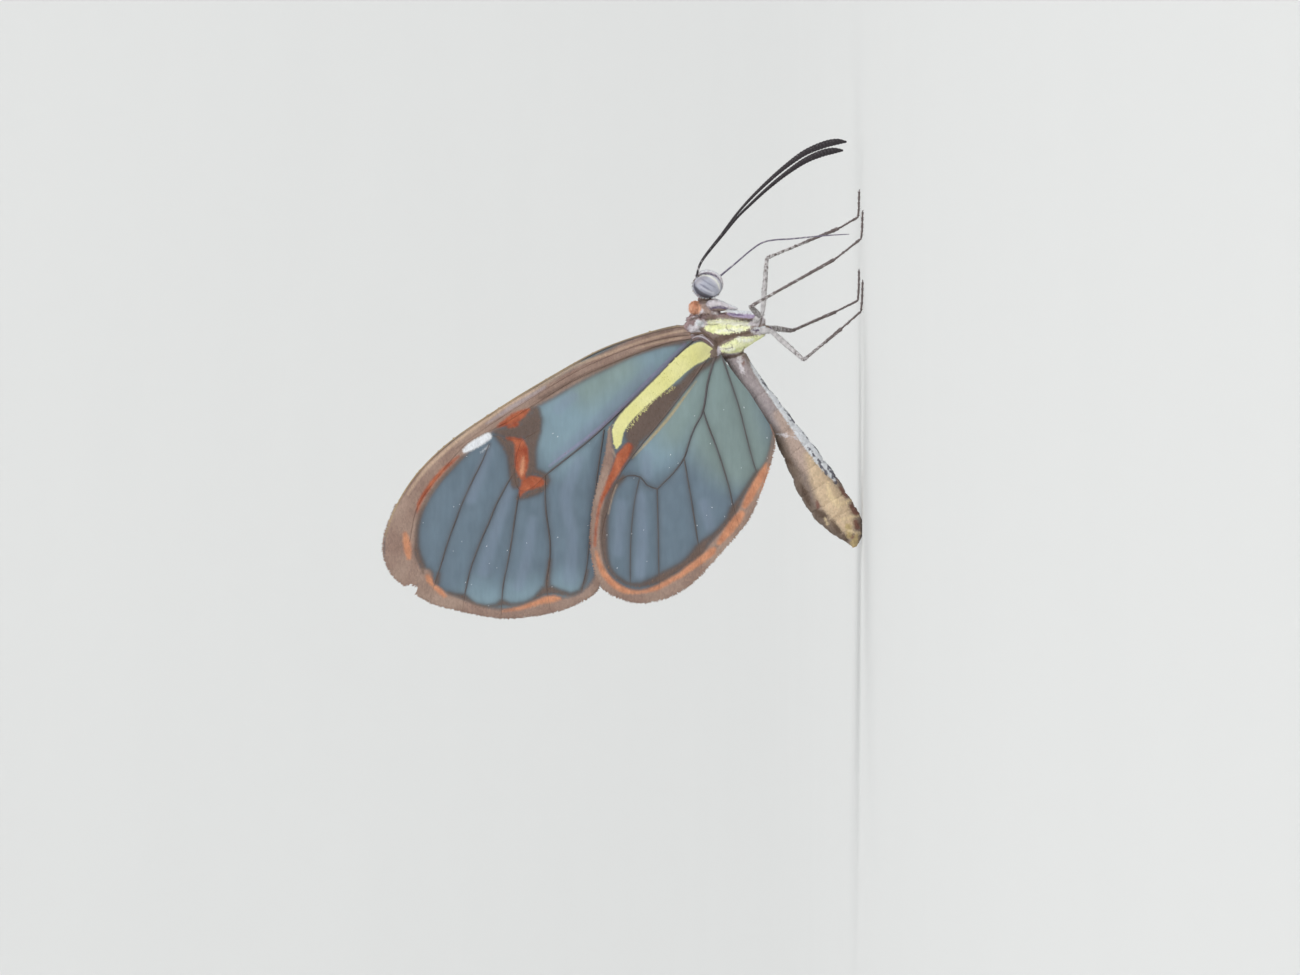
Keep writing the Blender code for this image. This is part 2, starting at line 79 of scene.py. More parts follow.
HINDWING_COSTA = [
    (2.1, 9.8), (2.25, 10.6), (0.0, 13.0), (-2.0, 15.05), (-3.1, 15.9), (-5.0, 16.2), (-8.0, 16.9), (-10.2, 17.1),
    (-12.0, 16.87), (-13.15, 16.45), (-13.85, 15.4), (-14.15, 14.1), (-13.9, 12.5), (-13.0, 10.85), (-11.0, 8.95),
    (-9.0, 7.28), (-7.0, 6.4), (-5.0, 5.75), (-4.0, 5.58), (-3.0, 5.85),
]
HINDWING_INNER = [(-1.0, 7.1), (0.2, 8.05), (0.95, 8.6), (1.3, 8.8)]

# Veins as (x, z, radius)
FOREWING_VEINS = [
    [(3.1, 10.9, 0.13), (3.22, 11.6, 0.12), (2.93, 13.0, 0.11), (2.31, 15.0, 0.10), (1.49, 17.0, 0.10),
     (-0.19, 20.0, 0.09), (-2.02, 23.0, 0.08), (-4.05, 25.95, 0.07), (-6.03, 28.02, 0.06), (-8.0, 29.33, 0.05)],
    [(2.75, 10.8, 0.12), (2.62, 12.0, 0.11), (2.25, 13.6, 0.10), (1.55, 15.6, 0.09), (0.45, 18.0, 0.08),
     (-1.1, 20.6, 0.07), (-2.9, 23.4, 0.06), (-4.5, 25.7, 0.05)],
    [(2.5, 10.8, 0.12), (2.2, 12.4, 0.11), (1.5, 14.4, 0.09), (0.1, 17.7, 0.08), (-1.35, 20.2, 0.08),
     (-2.75, 22.4, 0.08), (-3.3, 23.45, 0.07), (-4.0, 24.75, 0.05), (-4.75, 25.55, 0.05), (-6.2, 26.75, 0.06),
     (-8.2, 28.1, 0.06), (-10.4, 28.6, 0.05)],
    [(2.3, 10.7, 0.12), (1.0, 12.05, 0.11), (0.0, 13.0, 0.10), (-2.0, 15.15, 0.09), (-4.0, 17.3, 0.08),
     (-6.2, 20.05, 0.07)],
    [(-3.3, 20.35, 0.04), (-3.65, 20.95, 0.05), (-3.98, 21.5, 0.05), (-5.0, 21.85, 0.05), (-6.3, 21.95, 0.05),
     (-7.15, 21.6, 0.05), (-7.0, 20.9, 0.05), (-6.2, 20.05, 0.06)],
    [(-3.7, 23.3, 0.04), (-3.96, 21.56, 0.05)],
    [(-4.2, 23.55, 0.04), (-5.3, 24.0, 0.05), (-6.5, 24.6, 0.06), (-8.0, 25.28, 0.06), (-9.0, 25.65, 0.06),
     (-10.0, 26.03, 0.06), (-11.0, 26.35, 0.06), (-12.0, 26.65, 0.06), (-13.3, 27.1, 0.04), (-14.0, 27.3, 0.03)],
    [(-6.0, 22.0, 0.06), (-6.5, 22.3, 0.07), (-8.0, 23.1, 0.07), (-9.0, 23.5, 0.07), (-10.0, 23.95, 0.07),
     (-11.0, 24.35, 0.06), (-12.0, 24.7, 0.06), (-13.0, 24.95, 0.06), (-14.0, 25.15, 0.05), (-14.7, 25.25, 0.04)],
    [(-7.3, 21.65, 0.06), (-7.7, 21.75, 0.07), (-9.0, 21.95, 0.07), (-10.0, 22.1, 0.07), (-11.0, 22.25, 0.06),
     (-12.0, 22.45, 0.06), (-13.0, 22.65, 0.06), (-14.0, 22.75, 0.05), (-15.0, 22.8, 0.04)],
    [(-6.2, 20.05, 0.08), (-8.0, 20.0, 0.08), (-9.0, 19.9, 0.08), (-10.0, 19.75, 0.08), (-11.0, 19.7, 0.08),
     (-12.0, 19.8, 0.07), (-13.0, 19.95, 0.06), (-14.7, 19.7, 0.04)],
    [(-3.3, 16.3, 0.07), (-6.0, 16.7, 0.06), (-8.0, 16.95, 0.06), (-10.0, 17.2, 0.06), (-12.0, 17.4, 0.05),
     (-13.6, 17.75, 0.04)],
]
HINDWING_VEINS = [
    [(1.5, 9.6, 0.10), (0.4, 10.35, 0.10), (-1.0, 11.35, 0.09), (-3.0, 12.95, 0.08), (-5.0, 14.55, 0.07),
     (-6.4, 15.45, 0.07), (-8.0, 16.0, 0.06), (-10.0, 16.45, 0.05), (-12.2, 16.3, 0.04)],
    [(1.6, 9.2, 0.11), (0.9, 9.42, 0.10), (-0.3, 9.75, 0.09), (-2.1, 10.05, 0.08), (-3.2, 10.6, 0.07),
     (-4.3, 11.0, 0.07), (-5.1, 11.25, 0.07), (-6.0, 11.9, 0.06), (-7.05, 12.95, 0.06)],
    [(-7.05, 12.95, 0.06), (-6.8, 13.6, 0.06), (-6.3, 14.0, 0.06), (-6.2, 14.8, 0.06), (-6.6, 15.5, 0.06)],
    [(-6.3, 14.05, 0.04), (-8.0, 14.4, 0.04), (-10.0, 14.6, 0.04), (-12.3, 14.65, 0.04), (-13.9, 14.6, 0.03)],
    [(-7.05, 12.95, 0.06), (-9.0, 12.9, 0.05), (-11.8, 12.85, 0.05), (-14.0, 12.8, 0.04)],
    [(-5.1, 11.25, 0.06), (-6.0, 11.1, 0.06), (-8.0, 10.75, 0.06), (-10.6, 10.35, 0.05), (-12.5, 10.1, 0.04)],
    [(-2.1, 10.05, 0.07), (-3.0, 9.75, 0.07), (-5.0, 9.0, 0.06), (-7.0, 8.4, 0.06), (-8.2, 8.15, 0.06),
     (-9.6, 7.7, 0.04)],
    [(1.3, 8.85, 0.08), (0.0, 8.4, 0.06), (-2.0, 7.75, 0.05), (-4.0, 7.25, 0.05), (-5.9, 6.7, 0.04),
     (-6.4, 6.3, 0.03)],
]

# Wing markings as brush strokes of (x, z, half width)
FOREWING_MARKS = {
    "border": [
        [(-12.9, 29.1, 0.75), (-12.2, 28.95, 1.08), (-11.4, 29.2, 1.00), (-10.0, 29.15, 0.98), (-9.0, 28.95, 0.90),
         (-8.0, 28.50, 0.84), (-7.0, 27.9, 0.80), (-6.0, 27.15, 0.76), (-5.0, 26.1, 0.66), (-4.1, 25.05, 0.55),
         (-3.25, 24.0, 0.50), (-2.45, 22.7, 0.53), (-1.55, 21.2, 0.52), (-0.85, 19.8, 0.50), (-0.15, 18.6, 0.48),
         (0.6, 17.2, 0.48), (1.2, 16.0, 0.50), (1.78, 14.8, 0.50), (2.25, 13.5, 0.52), (2.6, 12.2, 0.50),
         (2.85, 11.0, 0.50)],
        [(-12.4, 16.5, 0.30), (-13.2, 16.75, 0.42), (-13.95, 17.5, 0.45), (-14.3, 18.2, 0.50), (-14.55, 19.0, 0.60),
         (-14.85, 20.0, 0.85), (-15.0, 21.3, 0.66), (-15.1, 22.6, 0.50), (-15.0, 23.7, 0.48), (-14.8, 24.8, 0.62),
         (-14.6, 25.6, 0.72), (-14.35, 26.6, 0.85), (-13.9, 27.5, 0.95)],
        [(-13.4, 27.95, 0.30), (-12.5, 27.55, 0.42), (-12.6, 28.3, 0.60)],
    ],
    "dark": [
        [(2.2, 11.2, 0.06), (2.05, 12.6, 0.07), (1.6, 14.1, 0.07), (0.82, 16.0, 0.07), (0.0, 17.9, 0.07),
         (-0.6, 19.0, 0.08), (-1.35, 20.3, 0.10)],
        [(2.75, 11.0, 0.03), (2.5, 12.3, 0.03), (2.05, 13.8, 0.02)],
        [(3.05, 11.2, 0.03), (2.9, 12.4, 0.03), (2.5, 13.9, 0.02)],
        [(-2.05, 20.6, 0.20), (-2.7, 20.65, 0.40), (-3.3, 20.8, 0.50), (-3.9, 20.9, 0.42), (-4.6, 20.85, 0.24),
         (-5.4, 20.78, 0.17), (-5.95, 20.7, 0.14)],
        [(-3.4, 23.1, 0.14), (-3.5, 22.4, 0.32), (-3.45, 21.7, 0.40), (-3.3, 21.1, 0.50), (-2.7, 21.1, 0.40)],
        [(-3.75, 22.95, 0.14), (-4.3, 22.45, 0.22), (-4.9, 22.1, 0.30), (-5.6, 22.0, 0.30), (-6.2, 21.95, 0.30),
         (-6.7, 21.85, 0.28)],
        [(-4.4, 21.9, 0.25), (-5.2, 21.7, 0.40), (-6.2, 21.4, 0.40), (-6.7, 20.9, 0.50), (-6.6, 20.4, 0.40)],
        [(-4.3, 21.1, 0.30), (-5.2, 21.0, 0.28), (-5.9, 21.0, 0.28)],
        [(-2.0, 20.8, 0.16), (-2.45, 21.3, 0.18), (-2.95, 21.75, 0.20), (-3.2, 22.3, 0.20)],
        [(-3.95, 22.4, 0.20), (-4.3, 22.1, 0.20)],
        [(-5.9, 20.75, 0.14), (-6.05, 20.3, 0.12), (-6.25, 19.95, 0.12)],
        [(-7.60, 21.7, 0.08), (-7.45, 21.2, 0.14), (-7.2, 20.6, 0.18), (-6.9, 20.15, 0.20), (-6.5, 19.92, 0.16)],
        [(-12.3, 27.75, 0.08), (-11.9, 27.75, 0.12), (-11.3, 28.05, 0.18), (-10.7, 28.15, 0.13), (-9.5, 28.1, 0.08),
         (-8.5, 27.85, 0.07), (-7.5, 27.4, 0.07), (-6.5, 26.65, 0.07), (-5.5, 25.75, 0.08), (-5.0, 25.25, 0.06)],
        [(-13.6, 26.15, 0.04), (-13.75, 25.6, 0.05), (-13.85, 25.15, 0.14), (-14.3, 24.5, 0.04),
         (-14.45, 23.7, 0.03), (-14.4, 23.1, 0.05), (-14.2, 22.75, 0.14), (-14.35, 22.2, 0.04),
         (-14.25, 21.3, 0.04), (-13.9, 20.6, 0.08), (-13.45, 20.05, 0.22), (-13.4, 19.7, 0.22),
         (-13.55, 19.1, 0.12), (-13.72, 18.4, 0.05), (-13.5, 17.8, 0.04), (-12.9, 17.5, 0.04), (-12.2, 17.35, 0.03)],
        [(-12.95, 26.85, 0.12), (-12.4, 26.75, 0.06)],
        [(-13.2, 19.9, 0.14), (-12.6, 19.85, 0.09), (-11.5, 19.72, 0.04)],
    ],
    "ember": [
        [(-8.5, 28.12, 0.04), (-8.0, 28.0, 0.11), (-7.5, 27.75, 0.13), (-7.0, 27.4, 0.13), (-6.5, 27.05, 0.13),
         (-6.0, 26.6, 0.13), (-5.6, 26.2, 0.11), (-5.2, 25.75, 0.08), (-4.95, 25.45, 0.03)],
        [(-3.82, 22.45, 0.06), (-3.92, 22.0, 0.16), (-4.15, 21.62, 0.33), (-4.6, 21.52, 0.42), (-5.2, 21.5, 0.44),
         (-5.7, 21.52, 0.39), (-6.1, 21.5, 0.24), (-6.35, 21.4, 0.15)],
        [(-7.45, 21.62, 0.08), (-7.05, 21.42, 0.24), (-6.75, 21.15, 0.38), (-6.62, 20.8, 0.42), (-6.62, 20.4, 0.31),
         (-6.68, 20.12, 0.12)],
        [(-3.1, 23.0, 0.08), (-2.85, 22.5, 0.22), (-2.6, 22.0, 0.34), (-2.3, 21.5, 0.26), (-2.0, 21.05, 0.08)],
        [(-3.1, 22.3, 0.10), (-2.95, 21.85, 0.16)],
    ],
    "orange": [
        [(-6.15, 21.5, 0.10), (-5.6, 21.46, 0.14), (-5.05, 21.40, 0.06)],
        [(-11.4, 28.62, 0.12), (-11.0, 28.68, 0.22), (-10.4, 28.76, 0.24), (-9.9, 28.85, 0.14)],
        [(-13.05, 27.15, 0.12), (-12.8, 27.3, 0.20), (-12.55, 27.45, 0.12)],
        [(-13.8, 26.35, 0.10), (-13.5, 26.65, 0.17), (-13.25, 26.95, 0.14)],
        [(-14.75, 22.7, 0.04), (-14.68, 22.2, 0.07), (-14.58, 21.6, 0.10), (-14.42, 21.1, 0.14),
         (-14.2, 20.5, 0.16), (-14.03, 20.0, 0.22), (-13.97, 19.5, 0.22), (-13.95, 19.1, 0.10)],
    ],
    "violet": [
        [(2.1, 11.2, 0.05), (1.4, 11.9, 0.07), (0.6, 12.7, 0.09), (0.0, 13.32, 0.10), (-1.0, 14.32, 0.08),
         (-2.0, 15.34, 0.07), (-3.0, 16.4, 0.07), (-4.0, 17.62, 0.07), (-5.0, 18.97, 0.06), (-5.6, 19.75, 0.03)],
    ],
    "pale": [
        [(-0.6, 20.05, 0.10), (-1.3, 21.25, 0.16), (-1.98, 22.35, 0.14), (-2.9, 23.7, 0.06)],
    ],
    "cream": [
        [(2.95, 11.3, 0.03), (2.72, 12.4, 0.03), (2.15, 14.3, 0.04), (1.5, 16.0, 0.06), (0.8, 18.0, 0.08),
         (-0.32, 20.0, 0.09), (-0.95, 21.0, 0.09), (-1.68, 22.33, 0.10), (-2.3, 23.2, 0.10), (-3.05, 24.3, 0.10),
         (-4.35, 26.0, 0.09), (-6.0, 27.72, 0.08), (-7.4, 28.7, 0.03)],
        [(2.5, 11.3, 0.02), (2.3, 12.6, 0.03), (1.85, 14.2, 0.02)],
    ],
    "gold": [
        [(3.3, 11.3, 0.03), (2.99, 13.0, 0.04), (2.37, 15.0, 0.04), (1.55, 17.0, 0.05), (-0.13, 20.0, 0.05),
         (-1.96, 23.0, 0.05), (-4.0, 26.0, 0.06), (-6.0, 28.08, 0.06), (-8.0, 29.39, 0.06), (-10.0, 30.12, 0.04)],
    ],
    "white": [
        [(-4.62, 25.08, 0.15), (-4.40, 24.75, 0.25), (-4.08, 24.2, 0.28), (-3.72, 23.62, 0.24)],
        [(-4.75, 24.1, 0.01), (-4.35, 23.6, 0.03)],
    ],
}
HINDWING_MARKS = {
    "border": [
        [(-2.9, 15.95, 0.06), (-4.0, 16.02, 0.20), (-5.2, 16.0, 0.34), (-6.0, 16.25, 0.34), (-8.0, 16.75, 0.50),
         (-10.0, 17.05, 0.55), (-12.0, 16.95, 0.72), (-13.2, 16.4, 0.72), (-13.9, 15.3, 0.66), (-14.12, 14.0, 0.70),
         (-13.95, 12.9, 0.78), (-13.2, 11.35, 0.88), (-12.2, 9.95, 0.88), (-10.9, 8.85, 0.86), (-9.3, 7.62, 0.74),
         (-8.0, 6.95, 0.66), (-6.8, 6.35, 0.52), (-5.8, 6.0, 0.26), (-4.6, 5.72, 0.10), (-3.6, 5.62, 0.03)],
    ],
    "dark": [
        [(1.15, 9.35, 0.10), (0.85, 9.75, 0.14), (0.55, 10.35, 0.22), (0.0, 10.85, 0.24), (-0.6, 11.4, 0.26),
         (-1.1, 12.0, 0.42), (-1.7, 12.65, 0.62), (-2.4, 13.3, 0.72), (-3.1, 13.95, 0.72), (-3.7, 14.4, 0.52),
         (-4.3, 14.35, 0.22), (-5.0, 14.65, 0.12)],
        [(-6.3, 15.1, 0.10), (-7.0, 15.7, 0.14), (-8.0, 16.12, 0.17), (-9.0, 16.3, 0.20), (-10.0, 16.33, 0.21),
         (-11.0, 16.27, 0.17), (-12.0, 16.0, 0.10), (-12.6, 15.5, 0.06), (-13.0, 14.9, 0.05), (-13.1, 14.0, 0.08),
         (-12.9, 13.3, 0.16), (-12.65, 12.65, 0.28), (-12.25, 12.0, 0.20), (-11.9, 11.4, 0.18),
         (-11.4, 10.8, 0.20), (-10.9, 10.25, 0.34), (-10.4, 9.9, 0.18), (-10.0, 9.4, 0.10), (-9.5, 8.9, 0.10),
         (-8.9, 8.4, 0.12), (-8.35, 8.12, 0.22), (-7.8, 7.8, 0.10), (-7.0, 7.3, 0.06), (-6.3, 6.85, 0.08),
         (-5.9, 6.6, 0.05)],
        [(2.35, 10.55, 0.05), (2.3, 10.0, 0.05), (2.05, 9.5, 0.04)],
        [(1.0, 9.6, 0.14), (1.3, 9.1, 0.12)],
        [(2.3, 10.75, 0.05), (1.0, 12.05, 0.05), (-1.0, 14.1, 0.05), (-2.7, 15.68, 0.05)],
        [(-10.72, 9.3, 0.02), (-10.62, 9.15, 0.02)],
    ],
    "ember": [
        [(-4.4, 14.75, 0.27), (-5.0, 15.15, 0.38), (-5.5, 15.4, 0.31), (-6.0, 15.62, 0.26), (-6.5, 15.9, 0.22),
         (-7.0, 16.12, 0.18), (-7.6, 16.4, 0.12), (-8.4, 16.65, 0.07), (-9.6, 16.82, 0.06), (-10.6, 16.88, 0.07)],
    ],
    "orange": [
        [(-11.0, 16.8, 0.06), (-11.8, 16.6, 0.16), (-12.4, 16.3, 0.20), (-12.9, 15.85, 0.20), (-13.25, 15.4, 0.20),
         (-13.45, 15.0, 0.18), (-13.55, 14.5, 0.11), (-13.55, 14.0, 0.08), (-13.45, 13.5, 0.12),
         (-13.3, 13.0, 0.16), (-13.0, 12.4, 0.16), (-12.75, 12.0, 0.15), (-12.5, 11.5, 0.16), (-12.1, 11.0, 0.20),
         (-11.75, 10.5, 0.22), (-11.4, 10.0, 0.22), (-11.0, 9.5, 0.24), (-10.85, 9.35, 0.14)],
        [(-10.45, 9.05, 0.14), (-10.2, 8.85, 0.20), (-9.85, 8.58, 0.25), (-9.35, 8.2, 0.29), (-8.95, 7.88, 0.29),
         (-8.6, 7.62, 0.20)],
        [(-8.1, 7.42, 0.17), (-7.6, 7.15, 0.26), (-7.0, 6.82, 0.27), (-6.4, 6.48, 0.26), (-5.9, 6.24, 0.20),
         (-5.5, 6.08, 0.08)],
    ],
    "yellow": [
        [(1.6, 9.3, 0.20), (1.62, 9.7, 0.38), (1.62, 10.2, 0.62), (1.2, 10.95, 0.58), (0.45, 11.8, 0.55),
         (-0.3, 12.55, 0.50), (-1.1, 13.45, 0.44), (-1.9, 14.3, 0.40), (-2.7, 15.05, 0.40), (-3.4, 15.42, 0.38),
         (-4.1, 15.45, 0.26), (-4.45, 15.5, 0.08)],
    ],
    "pale": [
        [(1.3, 9.12, 0.03), (1.95, 9.18, 0.03)],
    ],
    "cream": [
        [(-6.8, 15.5, 0.01), (-7.5, 15.78, 0.02), (-8.6, 16.02, 0.01)],
        [(-5.0, 15.6, 0.01), (-4.75, 15.68, 0.03), (-4.55, 15.75, 0.01)],
    ],
    "gold": [
        [(1.05, 10.9, 0.08), (1.12, 10.95, 0.05)],
        [(-0.2, 10.45, 0.03), (-1.0, 11.05, 0.06), (-1.8, 11.65, 0.08), (-2.6, 12.25, 0.09), (-3.4, 12.95, 0.09),
         (-4.2, 13.68, 0.08), (-5.1, 14.5, 0.03)],
    ],
}

# The edge of the yellow band where hairs stand across it, as (x, z)
YELLOW_EDGE = [(-0.55, 11.9), (-0.9, 12.45), (-1.2, 13.0), (-1.7, 13.5), (-2.2, 13.95), (-2.7, 14.4), (-3.3, 14.9)]

# How the clear membrane varies, with its painted sheen, as brush strokes of (x, z, half width) that fade out slowly
# round their edges
FOREWING_MEMBRANE = {
    "light": [
        [(1.8, 12.0, 1.0), (-0.8, 16.5, 1.4), (-2.8, 19.3, 1.1), (-4.4, 19.0, 0.5)],
        [(-13.6, 18.6, 0.01), (-14.4, 22.0, 0.01), (-14.2, 24.3, 0.01)],
    ],
    "green": [
        [(0.6, 15.2, 0.01), (-0.7, 17.3, 0.01)],
    ],
    # Painted sheen: lavender light laid into the membrane's colour in streaks between the veins
    "painted_sheen": [
        [(0.6, 13.3, 0.05), (-2.0, 15.9, 0.10), (-5.0, 19.25, 0.05)],
        [(-4.7, 23.65, 0.05), (-7.6, 24.7, 0.12)],
        [(-7.0, 22.2, 0.08), (-9.0, 22.9, 0.10), (-12.2, 23.9, 0.12)],
        [(-5.2, 17.9, 0.10), (-7.6, 18.7, 0.16), (-10.0, 18.3, 0.05), (-12.7, 18.45, 0.20)],
        [(-1.2, 18.3, 0.10), (-2.0, 19.2, 0.08)],
        [(-9.0, 20.8, 0.02), (-11.5, 21.2, 0.08), (-13.2, 21.7, 0.05)],
    ],
    "haze": [
        [(-6.2, 20.05, 0.06), (-9.0, 19.9, 0.05), (-11.0, 19.7, 0.04), (-13.2, 19.95, 0.10)],
    ],
}
HINDWING_MEMBRANE = {
    "light": [
        [(1.0, 9.6, 0.4), (-3.0, 11.7, 0.7), (-4.6, 13.0, 0.1)],
    ],
    "green": [
        [(0.5, 8.7, 1.0), (-2.0, 9.0, 1.5), (-4.5, 8.0, 1.2), (-5.2, 7.0, 0.8)],
        [(-1.5, 10.9, 0.2), (-3.2, 11.8, 0.1)],
    ],
    # Painted sheen: lavender light laid into the membrane's colour in streaks between the veins
    "painted_sheen": [
        [(-7.5, 14.0, 0.05), (-10.0, 13.9, 0.10), (-12.4, 14.0, 0.10)],
        [(-5.0, 13.6, 0.10), (-6.2, 13.6, 0.05)],
        [(-8.0, 15.2, 0.05), (-11.0, 15.4, 0.08)],
        [(-8.0, 10.0, 0.10), (-9.4, 9.6, 0.05)],
    ],
    "haze": [
        [(-6.2, 15.3, 0.04), (-6.15, 14.7, 0.05), (-6.3, 14.1, 0.06), (-6.8, 13.6, 0.05), (-7.05, 13.0, 0.03)],
    ],
}

# Dark joints between the plates of the chest, as brush strokes of (x, z, half width) seen from the side
CHEST_SEAMS = [
    [(1.95, 9.22, 0.06), (2.3, 9.18, 0.22), (2.44, 8.95, 0.22), (2.55, 8.5, 0.13), (2.68, 8.0, 0.09),
     (2.78, 7.5, 0.08), (2.85, 7.1, 0.07)],
    [(3.62, 10.9, 0.05), (3.76, 10.55, 0.07), (3.92, 10.15, 0.07), (4.02, 9.7, 0.05)],
    [(2.72, 10.5, 0.10), (2.84, 10.1, 0.10), (2.62, 9.75, 0.12)],
    [(1.2, 9.4, 0.10), (1.27, 8.8, 0.10), (1.36, 8.0, 0.10), (1.62, 7.4, 0.05)],
    [(4.85, 10.35, 0.10), (4.9, 9.9, 0.06), (4.93, 9.5, 0.04)],
    [(3.2, 6.5, 0.05), (3.6, 6.36, 0.05), (4.1, 6.42, 0.05)],
]
